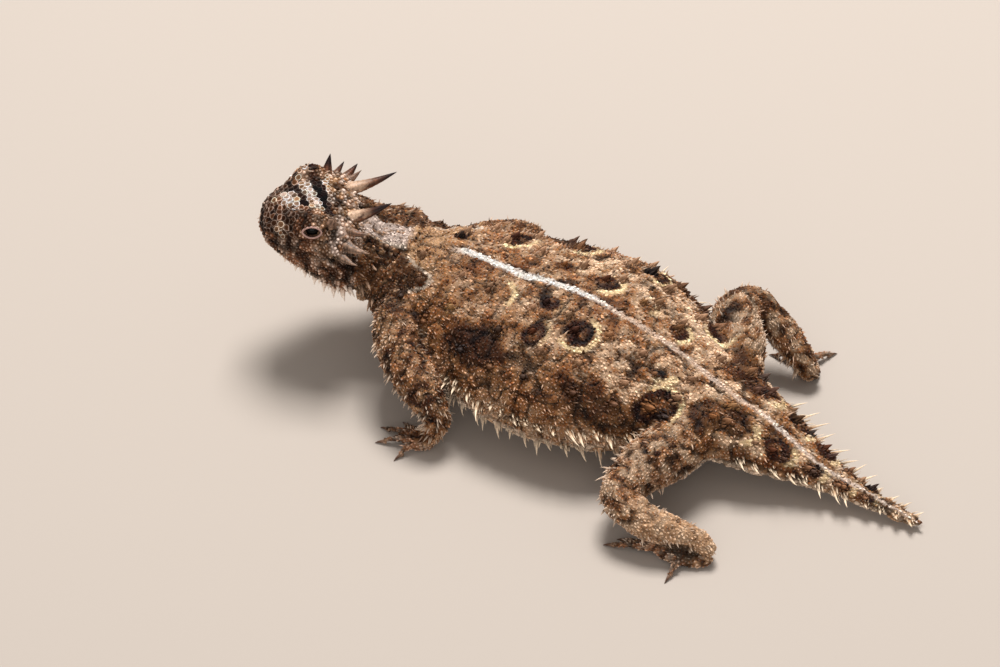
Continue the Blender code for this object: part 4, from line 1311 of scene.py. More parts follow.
@dataclass(frozen=True)
class ScalyFinish:
    """Dry skin and scales in their markings, with fine grain, dust and a dull sheen."""

    name: str
    roughness: float = 0.62
    specular: float = 0.12
    grain_mm: float = 0.16
    fleck_mm: float = 0.55
    contrast: float = 0.30
    bump_mm: float = 0.05

    def material(self) -> bpy.types.Material:
        """The finish as a material that reads the attribute "coat".

        Returns:
            The material.
        """
        shader = Shader(self.name, Specular_IOR_Level=self.specular)
        tint, fine = shader.tint(), shader.noise(self.grain_mm, Detail=2.0)
        fleck = shader.noise(self.fleck_mm, Detail=3.0)
        dim, bright, rough = 1 - self.contrast, 1 + self.contrast, self.roughness
        colour = shader.shaded(tint, shader.ranged(fine, 0.32, 0.68, dim, bright))
        shader.feed(Base_Color=shader.shaded(colour, shader.ranged(fleck, 0.3, 0.7, dim, bright)))
        shader.feed(Roughness=shader.ranged(fleck, 0.3, 0.7, rough - 0.12, rough + 0.12))
        shader.bump(fine, self.bump_mm, 0.8)
        return shader.material


@dataclass(frozen=True)
class HornFinish:
    """Horn, smooth and slightly glossy, streaked lengthwise."""

    name: str
    roughness: float = 0.38
    specular: float = 0.25
    streak_mm: float = 0.35
    contrast: float = 0.22
    bump_mm: float = 0.05

    def material(self) -> bpy.types.Material:
        """The finish as a material that reads the attribute "coat".

        Returns:
            The material.
        """
        shader = Shader(self.name, Specular_IOR_Level=self.specular)
        tint, streak = shader.tint(), shader.noise(self.streak_mm, Detail=4.0, Distortion=0.6)
        dim, bright, rough = 1 - self.contrast, 1 + self.contrast, self.roughness
        shader.feed(Base_Color=shader.shaded(tint, shader.ranged(streak, 0.3, 0.7, dim, bright)))
        shader.feed(Roughness=shader.ranged(streak, 0.3, 0.7, rough - 0.1, rough + 0.15))
        shader.bump(streak, self.bump_mm, 0.6)
        return shader.material


@dataclass(frozen=True)
class EyeFinish:
    """A wet dark eye."""

    name: str = "wet_eye"
    roughness: float = 0.06
    specular: float = 0.12
    ray_mm: float = 0.3

    def material(self) -> bpy.types.Material:
        """The finish as a material that reads the attribute "coat".

        Returns:
            The material.
        """
        shader = Shader(self.name, Roughness=self.roughness, Specular_IOR_Level=self.specular)
        tint, rays = shader.tint(), shader.noise(self.ray_mm, Detail=3.0)
        shader.feed(Base_Color=shader.shaded(tint, shader.ranged(rays, 0.3, 0.7, 0.7, 1.3)))
        return shader.material


@dataclass(frozen=True)
class FloorFinish:
    """A plain pale floor."""

    name: str = "pale_floor"
    colour: tuple[float, float, float] = (0.43, 0.37, 0.32)
    roughness: float = 0.9

    def material(self) -> bpy.types.Material:
        """The finish as a material."""
        return Shader(self.name, Base_Color=(*self.colour, 1.0), Roughness=self.roughness).material


# ---------------------------------------------------------------- markings


@dataclass(frozen=True)
class Blotch:
    """A dark blotch on the back with a pale crescent round part of it."""

    x: float
    degrees: float
    long: float
    wide: float
    facing: float = 0.0  # where the crescent lies, in degrees: 0 is towards the tail, 90 down the left side
    span: float = 100.0  # how far the crescent reaches to each side of that
    ring: float = 1.2  # its distance from the middle, as a share of the blotch's size
    pale: float = 1.0
    dark: float = 1.0


BLOTCHES = (
    Blotch(-62.4, 113.5, 2.5, 2.3, 27, 118, 1.26),
    Blotch(-68.7, 123, 1.8, 2.4, -20, 70, 1.21, 0.45),
    Blotch(-69.4, 104, 2.0, 1.3, 0, 60, 1.21, 0.15),
    Blotch(-78.8, 110, 3.2, 2.4, -22, 62, 1.15, 0.9, 0.4),
    Blotch(-46.6, 144, 3.3, 3.9, -58, 80, 1.05),
    Blotch(-48.7, 115, 1.9, 0.9, 30, 80, 1.21, 0.8),
    Blotch(-37.4, 128, 5.0, 2.9, 5, 50, 1.12, 0.8, 0.85),
    Blotch(-82.6, 62, 2.1, 2.3, 45, 80, 1.38),
    Blotch(-64.1, 78, 2.3, 1.9, 0, 105, 1.21),
    Blotch(-71.6, 78, 1.9, 1.1, 0, 60, 1.21, 0.1, 0.8),
    Blotch(-56.8, 77, 1.5, 1.1, 0, 60, 1.25, 0.5, 0.7),
    Blotch(-50.3, 78, 1.6, 1.7, -10, 85, 1.25),
    Blotch(-89.8, 77, 1.2, 1.2, 0, 50, 1.21, 0.1),
    Blotch(-37.4, 53, 5.0, 2.9, -5, 50, 1.12, 0.8, 0.85),
    Blotch(-46.8, 36, 3.3, 3.6, 58, 80, 1.05),
    Blotch(-73.5, 50, 2.3, 2.4, 10, 100, 1.25),
    Blotch(-60.5, 46, 2.4, 2.2, -10, 100, 1.25),
    Blotch(-28.4, 130, 2.3, 1.9, 0, 60, 1.2, 0.8),
    Blotch(-28.4, 50, 2.3, 1.9, 0, 60, 1.2, 0.8),
    Blotch(-22.8, 133, 1.9, 1.5, 0, 60, 1.25, 0.7),
    Blotch(-22.8, 47, 1.9, 1.5, 0, 60, 1.25, 0.7),
    Blotch(-17.8, 136, 1.6, 1.1, 0, 60, 1.3, 0.6),
    Blotch(-17.8, 44, 1.6, 1.1, 0, 60, 1.3, 0.6),
    Blotch(-13.4, 138, 1.3, 0.8, 0, 60, 1.3, 0.5),
    Blotch(-13.4, 42, 1.3, 0.8, 0, 60, 1.3, 0.5),
)


class Tone:
    """The animal's colours, linear."""

    TAN, RUST, DUST = srgb(184, 143, 107), srgb(156, 113, 78), srgb(212, 176, 142)
    BROWN, UMBER, VIOLET = srgb(92, 58, 32), srgb(48, 25, 10), srgb(54, 33, 22)
    CREAM, CHALK, OCHRE = srgb(248, 214, 162), srgb(254, 240, 230), srgb(214, 166, 120)
    ASH, GREY, BELLY = srgb(214, 190, 176), srgb(118, 90, 70), srgb(206, 180, 154)
    BLOTCH_HEART, FADED_STRIPE = srgb(128, 98, 76), srgb(222, 180, 146)
    COLLAR, COLLAR_FLECK, COLLAR_RIM = srgb(62, 43, 31), srgb(178, 152, 132), srgb(226, 204, 182)
    NECK, NECK_DARK, NECK_FLECK = srgb(96, 70, 52), srgb(38, 24, 15), srgb(170, 144, 122)
    SEAM, GROOVE, NECK_FRONT = srgb(228, 208, 188), srgb(104, 82, 70), srgb(112, 84, 62)
    NECK_THROAT, HEAD_THROAT, JAW = srgb(176, 150, 126), srgb(198, 174, 152), srgb(206, 182, 164)
    CHEEK, CHEEK_DARK, CHEEK_FLECK = srgb(130, 99, 85), srgb(48, 30, 23), srgb(186, 160, 146)
    CROWN, CROWN_OLIVE, CROWN_PALE = srgb(186, 156, 136), srgb(126, 102, 72), srgb(200, 173, 155)
    CROWN_DARK, CROWN_SPECK, EYE_RING = srgb(54, 34, 24), srgb(76, 52, 38), srgb(88, 58, 44)
    SNOUT, SNOUT_PALE, SNOUT_DARK = srgb(98, 74, 62), srgb(196, 171, 158), srgb(44, 27, 20)
    PALE_BAR, REAR_BAR, FRONT_BAR = srgb(208, 184, 170), srgb(34, 19, 15), srgb(40, 24, 18)
    SNOUT_SPOT, SNOUT_TIP = srgb(198, 173, 158), srgb(64, 42, 32)
    TEMPLE, TEMPLE_PALE, TEMPLE_DARK = srgb(190, 160, 142), srgb(212, 185, 169), srgb(66, 44, 34)
    STREAK, CHEEK_SPOT, BROW = srgb(38, 25, 24), srgb(184, 160, 146), srgb(186, 160, 144)
    LEG_PALE, SHANK = srgb(200, 157, 122), srgb(214, 168, 127)
    LEG_BAND, LEG_UNDER = srgb(70, 48, 35), srgb(184, 148, 116)
    FOOT, FOOT_DARK, FOOT_FLECK = srgb(166, 125, 99), srgb(48, 28, 16), srgb(184, 154, 130)
    FOOT_PALE, SOLE = srgb(206, 182, 162), srgb(190, 158, 128)


@dataclass(frozen=True)
class Markings:
    """The animal's colours, worked out for any place on its skin.

    The methods for its parts take places, and grains: for each place, random numbers that change over four
    distances, from wide to tiny.
    """

    animal: Animal
    stain: tuple[float, float, float] = (1.60, 1.24, 0.82)  # the earth that the animal is dusted with
    sizes: tuple[float, ...] = (7, 2.6, 1.1, 0.5)  # of the grains, in millimetres
    limits: tuple[float, float] = (0.004, 0.95)  # the darkest and lightest that a colour gets
    hips: float = 0.26  # the share of a leg's length up to which it blends into the trunk
    thigh_spots: tuple[tuple[float, float, float], ...] = (
        (-42.1, -16.5, 11.8),
        (-40.4, -13.6, 12.1),
        (-43.9, -17.1, 12.1),
    )

    def colour(self, sites: Sites) -> Array:
        """The skin's colour at each place, linear.

        Args:
            sites: The places.

        Returns:
            A colour for each place.
        """
        p = sites.points
        grains = np.array([grain(p, size, seed) for seed, size in enumerate(self.sizes, 1)])
        base = np.tile(Tone.TAN, (len(p), 1))
        painters = (self.on_trunk, self.on_neck, self.on_head, self.on_limb, self.on_foot)
        for part, paint in zip(Part, painters):
            found = sites.of(part)
            if found.any():
                base[found] = paint(sites.only(found), grains[:, found])
        hips = sites.of(Part.LIMB) & (sites.along < self.hips)
        if hips.any():
            body, chart = sites.only(hips), self.animal.trunk.locate(p[hips])
            share = step_up(body.along, self.hips, 0.14)
            body.along, body.around, body.top = chart.along, chart.around, chart.top
            base[hips] = mixed(base[hips], (self.on_trunk(body, grains[:, hips]), share))
        brightest = base.max(axis=1, keepdims=True)
        shadow = 0.85 * creases(p)[:, None] * (1 - step_up(brightest, 0.45, 0.75))
        stain = 1 + (np.array(self.stain) - 1) * (1 - step_up(brightest, 0.16, 0.6))
        return np.clip(base * (1 - shadow) * stain, *self.limits)

    def unrolled(self, sites: Sites) -> tuple[Array, Array]:
        """Distances along the trunk and round it from the middle of the back, in millimetres.

        Args:
            sites: The places.

        Returns:
            The two distances for each place.
        """
        x = sites.points[:, 0]
        _, _, width, rise, _ = self.animal.trunk.sizes(x).T
        quarter = math.pi / 2 * np.sqrt((width**2 + rise**2) / 2)
        degrees = np.where(sites.around > 270, sites.around - 360, sites.around) - 90
        return x, degrees / 90 * quarter

    def on_trunk(self, sites: Sites, grains: Array) -> Array:
        """Colours of the body and tail.

        Args:
            sites: The places.
            grains: Random numbers for each place.

        Returns:
            A colour for each place.
        """
        _, middle, small, tiny = grains
        x, v = self.unrolled(sites)
        up, side = sites.top, np.abs(v)
        wobble = (middle - 0.5) * 1.2 + (small - 0.5) * 0.8
        base = self.ground(sites, grains, x, v)
        flank = step_up(side, 9.5, 14.5) * step_up(up, -0.05, 0.1) * (1 - step_up(x, -50, -38))
        tail = step_up(x, -44, -34) * step_up(middle, 0.7, 0.4) * step_up(side, 1.0, 3.0)
        nape = step_up(x + wobble, -85.5, -92) * step_up(up, 0.55, 0.85)
        base = mixed(
            base,
            (Tone.BROWN, flank * (0.30 + 0.5 * (small - 0.5))),
            (Tone.BROWN, tail * 0.95),
            (Tone.OCHRE, nape * (0.75 + 0.5 * (middle - 0.5))),
        )
        for way in (1, -1):
            front = step_up(np.hypot((x + 77.0) / 7.2, (way * v - 15.0) / 4.6) + wobble * 0.35, 1.1, 0.55)
            rear = step_up(np.hypot((x + 54.0) / 8.0, (way * v - 16.5) / 4.4) + wobble * 0.3, 1.15, 0.6)
            base = mixed(base, (Tone.VIOLET, front * 0.95), (Tone.UMBER, rear * 0.75))
        base = self.blotched(base, sites, x, v, wobble, small)
        speck = step_up(tiny * 0.5 + small * 0.5, 0.66, 0.8) * 0.55 * step_up(up, -0.1, 0.2)
        edge = -96 + 6.6 * np.exp(-(((side - 7.4) / 1.8) ** 2)) + 3.5 * step_up(side, 7.5, 9.5)
        edge = edge + 0.8 * (small - 0.5)
        collar = step_up(x - edge, 0.3, -0.3) * step_up(up, -0.2, 0.1)
        rim = step_up(np.abs(x - edge - 0.2), 0.8, 0.4) * step_up(np.abs(side - 7.6), 3.6, 2.6)
        base = mixed(
            base,
            (Tone.UMBER, speck),
            (Tone.COLLAR, collar * 0.95),
            (Tone.COLLAR_FLECK, collar * step_up(tiny, 0.62, 0.8) * 0.8),
            (Tone.COLLAR_RIM, rim * (0.55 + 0.45 * small)),
        )
        base = self.striped(base, x, v, small, tiny)
        belly = mixed(Tone.BELLY, (Tone.GREY, step_up(middle, 0.62, 0.75) * 0.6))
        fringe = step_up(np.abs(up), 0.16, 0.03)
        return mixed(base, (Tone.DUST, fringe * 0.5), (belly, step_up(up, -0.08, -0.3)))

    def ground(self, sites: Sites, grains: Array, x: Array, v: Array) -> Array:
        """The mottled ground colour of the trunk, at distances along and round it.

        Args:
            sites: The places.
            grains: Random numbers for each place.
            x: Distances along the trunk.
            v: Distances round it from the middle of the back.

        Returns:
            A colour for each place.
        """
        wide, middle, small, _ = grains
        patch = grain(sites.points, 1.7, 9)
        rear = np.maximum(step_up(x, -66, -50), step_up(v, -1.5, -6) * step_up(x, -84, -76))
        base = mixed(
            Tone.TAN,
            (Tone.RUST, (0.85 - 0.5 * rear) * step_up(wide, 0.35, 0.75) + 0.25 * (1 - rear)),
            (Tone.DUST, step_up(middle, 0.5, 0.8) * (0.50 + 0.40 * rear)),
            (Tone.BROWN, step_up(middle, 0.52, 0.2) * 0.55),
            (Tone.DUST, step_up(small, 0.52, 0.72) * (0.58 + 0.40 * rear)),
            (Tone.UMBER, step_up(small, 0.38, 0.24) * 0.65),
        )
        return base * (0.74 + 0.52 * step_up(patch, 0.3, 0.7) + 0.13 * rear)[:, None]

    def blotched(self, base: Array, sites: Sites, x: Array, v: Array, wobble: Array, small: Array) -> Array:
        """The base colours with the blotches and their crescents.

        Args:
            base: The base colours.
            sites: The places.
            x: Distances along the trunk.
            v: Distances round it from the middle of the back.
            wobble: Random numbers about 0, which make edges uneven.
            small: Fine random numbers.

        Returns:
            A colour for each place.
        """
        quarter = v / np.where(sites.around == 90, 1, (sites.around - 90)) * 90
        degrees_mm = np.abs(np.where(np.abs(quarter) < 0.5, 20.0, quarter)) / 90
        for blotch in BLOTCHES:
            du, dv = x - blotch.x, v - (blotch.degrees - 90) * degrees_mm
            away = np.hypot(du / blotch.long, dv / blotch.wide)
            turned = np.degrees(np.arctan2(dv / blotch.wide, du / blotch.long)) - blotch.facing
            turned = np.abs((turned + 180) % 360 - 180)
            line = np.abs(away + wobble * 0.06 - blotch.ring) * min(blotch.long, blotch.wide)
            span = blotch.span
            halo = step_up(np.abs(away - blotch.ring), 0.7, 0.1) * step_up(turned, span + 40, span)
            inner = step_up(away, 0.78, 0.3) * step_up(small, 0.42, 0.6)
            crescent = step_up(line, 0.46, 0.30) * step_up(turned, span, span - 25) * blotch.pale
            base = mixed(
                base,
                (Tone.DUST, halo * 0.30 * blotch.pale),
                (Tone.UMBER, step_up(away + wobble * 0.28, 1.12, 0.8) * blotch.dark),
                (Tone.BLOTCH_HEART, inner * 0.75 * blotch.dark),
                (Tone.CREAM, crescent),
            )
        return base

    def striped(self, base: Array, x: Array, v: Array, small: Array, tiny: Array) -> Array:
        """The base colours with the stripe down the middle of the back.

        Args:
            base: The base colours.
            x: Distances along the trunk.
            v: Distances round it from the middle of the back.
            small: Fine random numbers.
            tiny: The finest random numbers.

        Returns:
            A colour for each place.
        """
        width = 0.40 + 0.14 * step_up(x, -62, -70) - 0.10 * step_up(x, -40, -25) - 0.10 * step_up(x, -14, -5)
        off = np.abs(v - 0.5 + 0.25 * np.sin(x * 0.35)) + (tiny - 0.5) * 0.15
        bright = step_up(x, -90.5, -87)
        faded = np.maximum(step_up(x, -66, -58) * step_up(x, -26, -36), 0.6 * step_up(x, -36, -26))
        stripe = mixed(Tone.CHALK, (Tone.FADED_STRIPE, faded * (0.75 + 0.5 * (small - 0.5))))
        shade = step_up(np.abs(off - 0.85), 0.35, 0.0) * 0.35 * bright
        return mixed(base, (Tone.UMBER, shade), (stripe, step_up(off, width + 0.14, width - 0.1) * bright))

    def on_neck(self, sites: Sites, grains: Array) -> Array:
        """Colours of the neck: dark patches at its sides, a pale fold on top with painted shade in its
        groove, and a dusty throat.

        Args:
            sites: The places.
            grains: Random numbers for each place.

        Returns:
            A colour for each place.
        """
        _, middle, small, tiny = grains
        turned = np.where(sites.around > 270, sites.around - 360, sites.around) + (middle - 0.5) * 8
        along = sites.along + (small - 0.5) * 0.1
        over = step_up(turned, 58, 63) * step_up(turned, 97, 92)
        seam = step_up(np.abs(turned - 61), 3.5, 1.2) * step_up(along, 0.9, 0.8)
        # painted shade: a darker line along the groove of the pale fold
        groove = over * step_up(np.abs(turned - 76 - 6 * np.sin(along * 22)), 4.0, 1.0)
        front = step_up(along, 0.86, 0.95) * step_up(turned, 66, 56)
        throat = step_up(sites.top, -0.1, -0.5)
        fold = mixed(Tone.OCHRE, (Tone.ASH, step_up(along, 0.42, 0.56)))
        return mixed(
            Tone.NECK,
            (Tone.NECK_DARK, step_up(middle, 0.5, 0.3) * 0.8),
            (Tone.NECK_FLECK, step_up(tiny, 0.58, 0.76) * 0.75),
            (fold, over),
            (Tone.SEAM, seam * (0.5 + 0.5 * small)),
            (Tone.GROOVE, groove * 0.7),
            (Tone.NECK_FRONT, front * 0.6),
            (Tone.NECK_THROAT, throat * 0.8 * (0.7 + 0.6 * small)),
        )

    def on_head(self, sites: Sites, grains: Array) -> Array:
        """Colours of the head: a barred crown, a pale temple with a painted shadow under it, dark cheeks and
        a pale jaw.

        Args:
            sites: The places.
            grains: Random numbers for each place.

        Returns:
            A colour for each place.
        """
        _, middle, small, _ = grains
        ahead, left, above = self.animal.head.local(sites.points).T
        wobble = (small - 0.5) * 1.1 + (middle - 0.5) * 0.7
        drawn = grain(np.stack([ahead, left * 0.3, above * 0.3], 1), 0.75, 61)
        upper, aside = step_up(sites.top, 0.2, 0.5), np.abs(left)
        temple = step_up(ahead, 5.6, 4.2) * step_up(above + 0.5 * (ahead - 2), -5.6, -4.4)
        temple = temple * step_up(aside, 5.2, 6.4)
        # painted shadow: a dark streak under the ridge of the temple
        streak = step_up(np.abs(above + 4.5 + 0.42 * (3.3 - ahead)) + wobble * 0.4, 1.25, 0.7)
        streak = streak * step_up(np.abs(ahead - 3.2), 3.4, 2.6) * (1 - upper)
        spot = np.hypot(ahead - 6.6, above + 3.9) + wobble * 0.35
        brow = step_up(np.abs(ahead - 5.2), 2.0, 1.2) * step_up(np.abs(aside - 5.6), 1.3, 0.7)
        brow = brow * step_up(above, -1.2, -0.5)
        jaw = step_up(sites.top, -0.35, -0.6) * step_up(sites.top, -0.97, -0.85)
        throat = step_up(sites.top, -0.8, -0.95)
        eyes = [apart(sites.points, self.animal.head.eye_frame(side)[0]) for side in (1, -1)]
        crown = self.crown(grains, ahead + 0.27 * np.clip(left, -4, 7) + wobble * 0.6, left, drawn)
        return mixed(
            Tone.CHEEK,
            (Tone.CHEEK_DARK, step_up(middle, 0.54, 0.36) * 0.8),
            (Tone.CHEEK_FLECK, step_up(drawn, 0.52, 0.64) * 0.8),
            (crown, upper),
            (Tone.TEMPLE, temple * 0.9),
            (Tone.TEMPLE_PALE, temple * step_up(drawn, 0.46, 0.58) * 0.9),
            (Tone.TEMPLE_DARK, temple * step_up(small, 0.40, 0.28) * 0.8),
            (Tone.STREAK, streak * 0.95),
            (Tone.CHEEK_SPOT, step_up(spot, 1.05, 0.6) * step_up(aside, 6.5, 7.5) * 0.9),
            (Tone.BROW, brow * 0.6),
            (Tone.JAW, jaw * step_up(small, 0.5, 0.66) * 0.7),
            (Tone.HEAD_THROAT, throat * 0.85),
            (Tone.EYE_RING, step_up(np.minimum(*eyes), 3.5, 2.8) * (0.45 + 0.6 * (middle - 0.5))),
        )

    def crown(self, grains: Array, a: Array, left: Array, drawn: Array) -> Array:
        """Colours of the crown and snout: dark bars between pale ones, and a netted snout.

        Args:
            grains: Random numbers for each place.
            a: How far ahead each lies, measured along slanting bars.
            left: How far to the left.
            drawn: Random numbers in streaks lengthwise.

        Returns:
            The colours.
        """
        _, middle, small, tiny = grains
        broken = step_up(drawn, 0.30, 0.46) * (0.45 + 0.55 * step_up(tiny, 0.36, 0.5))
        snout = mixed(
            Tone.SNOUT,
            (Tone.SNOUT_PALE, step_up(drawn, 0.54, 0.64) * 0.75),
            (Tone.SNOUT_DARK, step_up(small, 0.46, 0.32) * 0.8),
        )
        spot = step_up(np.hypot(a - 10.9, (left - 0.2) * 0.6), 1.5, 0.8) * (0.3 + 0.7 * broken)
        return mixed(
            Tone.CROWN,
            (Tone.CROWN_OLIVE, step_up(middle, 0.46, 0.6) * 0.55),
            (Tone.CROWN_PALE, step_up(drawn, 0.5, 0.6) * 0.9),
            (Tone.CROWN_DARK, step_up(small, 0.38, 0.3) * 0.85),
            (Tone.CROWN_SPECK, step_up(tiny, 0.4, 0.3) * 0.5),
            (snout, step_up(a, 8.2, 9.0)),
            (Tone.PALE_BAR, step_up(np.abs(a - 7.8), 1.2, 0.7) * (0.25 + 0.75 * broken)),
            (Tone.REAR_BAR, step_up(np.abs(a - 6.05), 1.05, 0.75)),
            (Tone.FRONT_BAR, step_up(np.abs(a - 9.4), 0.85, 0.45) * step_up(np.abs(left + 0.3), 3.4, 2.4)),
            (Tone.SNOUT_SPOT, spot * 0.9),
            (Tone.SNOUT_TIP, step_up(a, 12.2, 13.2) * 0.6),
        )

    def on_limb(self, sites: Sites, grains: Array) -> Array:
        """Colours of the legs: grey-brown bands above and pale dust below.

        Args:
            sites: The places.
            grains: Random numbers for each place.

        Returns:
            A colour for each place.
        """
        wide, middle, small, _ = grains
        fore, left_hind = np.isin(sites.form, FORELEGS), sites.form == HINDLEG_LEFT
        shank = step_up(sites.along, 0.6, 0.68) * left_hind
        band = step_up((np.sin(sites.along * 26 + wide * 5) * 0.5 + 0.5) * 0.6 + middle * 0.4, 0.55, 0.75)
        spots = []
        for place in self.thigh_spots:
            spots.append((Tone.UMBER, step_up(apart(sites.points, np.array(place)), 0.95, 0.6) * left_hind))
        return mixed(
            Tone.GREY,
            (Tone.LEG_PALE, np.where(fore, 0.15, np.where(left_hind, 0.75, 0.25))),
            (Tone.SHANK, shank),
            (Tone.LEG_BAND, band * np.where(fore, 0.75, 0.55 * (1 - shank))),
            (Tone.DUST, step_up(small, 0.48, 0.64) * np.where(fore, 0.45, 0.8)),
            (Tone.UMBER, step_up(small, 0.42, 0.26) * (0.8 - 0.6 * shank)),
            *spots,
            (Tone.LEG_UNDER, step_up(sites.top, 0.0, -0.55) * np.where(fore, 0.5, 0.9)),
        )

    def on_foot(self, sites: Sites, grains: Array) -> Array:
        """Colours of the hands and feet.

        Args:
            sites: The places.
            grains: Random numbers for each place.

        Returns:
            A colour for each place.
        """
        _, middle, small, tiny = grains
        return mixed(
            Tone.FOOT,
            (Tone.FOOT_DARK, step_up(middle, 0.5, 0.32) * 0.75),
            (Tone.FOOT_FLECK, step_up(small, 0.5, 0.68) * 0.75),
            (Tone.FOOT_PALE, step_up(tiny, 0.55, 0.7) * step_up(sites.top, -0.1, 0.4) * 0.7),
            (Tone.SOLE, step_up(sites.top, -0.3, -0.7) * 0.8),
        )


# ---------------------------------------------------------------- the skin


@dataclass
class Skin:
    """One skin over the whole animal, inside the solids by the depth of its scales."""

    animal: Animal
    inset: float = 0.30
    voxel: float = 0.40
    smoothing: int = 4
    fold: float = 0.35
    groove: float = 0.55
    lowest: float = 0.12
    shade: float = 0.5  # painted shade: how dark the skin is between the scales, as a share of their colours
    lip: float = 0.62  # how far from the line of the mouth its groove starts
    nostril_depth: float = 0.8
    nostril_radius: float = 0.75
    socket: float = 0.72  # the radius of the skin behind an eye, as a share of the eye's
    points: Array = field(default=None, repr=False)
    faces: Array = field(default=None, repr=False)
    normals: Array = field(default=None, repr=False)
    sites: Sites = field(default=None, repr=False)

    def model(self) -> None:
        """Joins the forms into one surface, smooths it and shapes its folds, mouth, nostrils and eye gaps."""
        mesh = Shell.joined(self.animal.shells(self.inset)).to_mesh("skin_forms")
        rough = placed("skin_forms", mesh)
        joining = rough.modifiers.new("join", "REMESH")
        joining.mode = "VOXEL"
        joining.voxel_size = self.voxel
        softening = rough.modifiers.new("soften", "SMOOTH")
        softening.factor = 0.5
        softening.iterations = self.smoothing
        graph = bpy.context.evaluated_depsgraph_get()
        joined = bpy.data.meshes.new_from_object(rough.evaluated_get(graph))
        bpy.data.objects.remove(rough)
        joined.calc_loop_triangles()
        self.points = self.read(joined.vertices, "co", float)
        self.faces = self.read(joined.loop_triangles, "vertices", np.int32)
        bpy.data.meshes.remove(joined)
        self.normals = self.vertex_normals()
        self.sites = self.animal.survey(self.points)
        self.shape_folds()
        self.shape_head()
        self.points[:, 2] = np.maximum(self.points[:, 2], self.lowest)
        self.normals = self.vertex_normals()
        self.sites.points = self.points

    @staticmethod
    def read(items: bpy.types.bpy_prop_collection, name: str, kind: type) -> Array:
        """A property of three numbers of every item, one item a row.

        Args:
            items: The items.
            name: The property.
            kind: The type of its numbers.

        Returns:
            One row for each item.
        """
        found = np.empty(len(items) * 3, kind)
        items.foreach_get(name, found)
        return found.reshape(-1, 3)

    def vertex_normals(self) -> Array:
        """The direction out of the skin at each point.

        Returns:
            A direction for each point.
        """
        corners = self.points[self.faces]
        across = np.cross(corners[:, 1] - corners[:, 0], corners[:, 2] - corners[:, 0])
        normals = np.zeros_like(self.points)
        for k in range(3):
            for axis in range(3):
                normals[:, axis] += np.bincount(self.faces[:, k], across[:, axis], len(self.points))
        return unit(normals)

    def shape_folds(self) -> None:
        """Loose folds behind the head, along the flanks and at the joints of the legs."""
        p, sites = self.points, self.sites
        lumps = grain(p, 3.2, 11) - 0.5
        stretched = grain(p * np.array([0.45, 1.0, 1.6]), 1.7, 12) - 0.5
        amount = 0.5 * lumps - creases(p)
        neck = sites.of(Part.NECK)
        amount[neck] += 1.4 * np.sin(sites.along[neck] * 17 + lumps[neck] * 3)
        trunk = sites.of(Part.TRUNK)
        flank = trunk & (np.abs(sites.top) < 0.6) & (p[:, 0] < -36)
        amount[flank] += 2.0 * stretched[flank]
        amount -= 1.6 * (np.exp(-(((p[:, 0] + 94.5) / 1.6) ** 2)) * trunk)
        limb = sites.of(Part.LIMB)
        amount[limb] += 0.8 * stretched[limb]
        fade = np.where(sites.of(Part.HEAD) | sites.of(Part.FOOT), 0.15, 1.0)
        self.points = p + self.normals * (amount * self.fold * fade)[:, None]

    def shape_head(self) -> None:
        """The line of the mouth, the nostrils and the gaps in front of the eyes."""
        head, p = self.animal.head, self.points
        for side in (1, -1):
            line, outs = head.mouth_line(side, MOUTH_STEPS)
            near = np.where(apart(p, line.mean(0)) < MOUTH_REACH)[0]
            away = np.linalg.norm(p[near][:, None] - line[None], axis=2)
            depth = self.groove * step_up(away.min(1), self.lip, 0.05)
            p[near] -= outs[away.argmin(1)] * depth[:, None]
            share, angle = head.nostril
            place, out = head.surface(share, angle if side > 0 else 180 - angle)
            near = step_up(apart(p, place), self.nostril_radius, 0.2)
            p -= out * (self.nostril_depth * near)[:, None]
            inside, _ = self.in_opening(p, side, 1.0)
            centre, _ = head.eye_frame(side)
            p[inside] = centre + unit(p[inside] - centre) * (head.eye_radius * self.socket)
        self.points = p

    def in_opening(self, points: Array, side: int, size: float) -> tuple[Array, Array]:
        """Which places lie in front of an eye between the lids.

        Args:
            points: The places.
            side: 1 for the left eye, -1 for the right.
            size: The opening's size as a share of the true one.

        Returns:
            A mask, and how far from the opening's middle each place is, 1 being its edge.
        """
        centre, (out, forward, top) = self.animal.head.eye_frame(side)
        offset = points - centre
        long, tall = np.array(self.animal.head.opening) / 2 * size
        u, v, w = offset @ forward / long, offset @ top / tall, offset @ out
        reach = u**2 + np.abs(v) ** 1.5
        return (reach < 1) & (w > 0) & (w < 4), reach

    def dress(self, markings: Markings, shift: Array) -> bpy.types.Object:
        """The skin as a piece, in its markings made darker as painted shade between the scales."""
        shell = Shell(self.points, self.faces, markings.colour(self.sites) * self.shade)
        return add_piece("skin", shell, ScalyFinish("scaly_skin").material(), shift, smooth=True)


def add_piece(
    name: str, shell: Shell, material: bpy.types.Material, shift: Array, smooth: bool = False
) -> bpy.types.Object:
    """Makes a piece of the model that rides on its body.

    Args:
        name: The piece's name.
        shell: Its shape and colours, in millimetres.
        material: Its finish.
        shift: From the animal's coordinates to the row frame, in millimetres.
        smooth: Whether its faces are shaded as one surface.

    Returns:
        The piece.
    """
    mesh = shell.to_mesh(name, MM, shift)
    mesh.materials.append(material)
    (mesh.shade_smooth if smooth else mesh.shade_flat)()
    made = placed(name, mesh)
    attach(made, BODY)
    LOG.info("%s: %d triangles", name, len(shell.faces))
    return made


# ---------------------------------------------------------------- scales


class Kind(Enum):
    """How a scale is shaped."""

    KEELED = 0
    GRANULE = 1
    PLATE = 2
    TILE = 3

    @property
    def corners(self) -> int:
        """How many corners its outline has."""
        return 6 if self in (Kind.KEELED, Kind.GRANULE) else 8


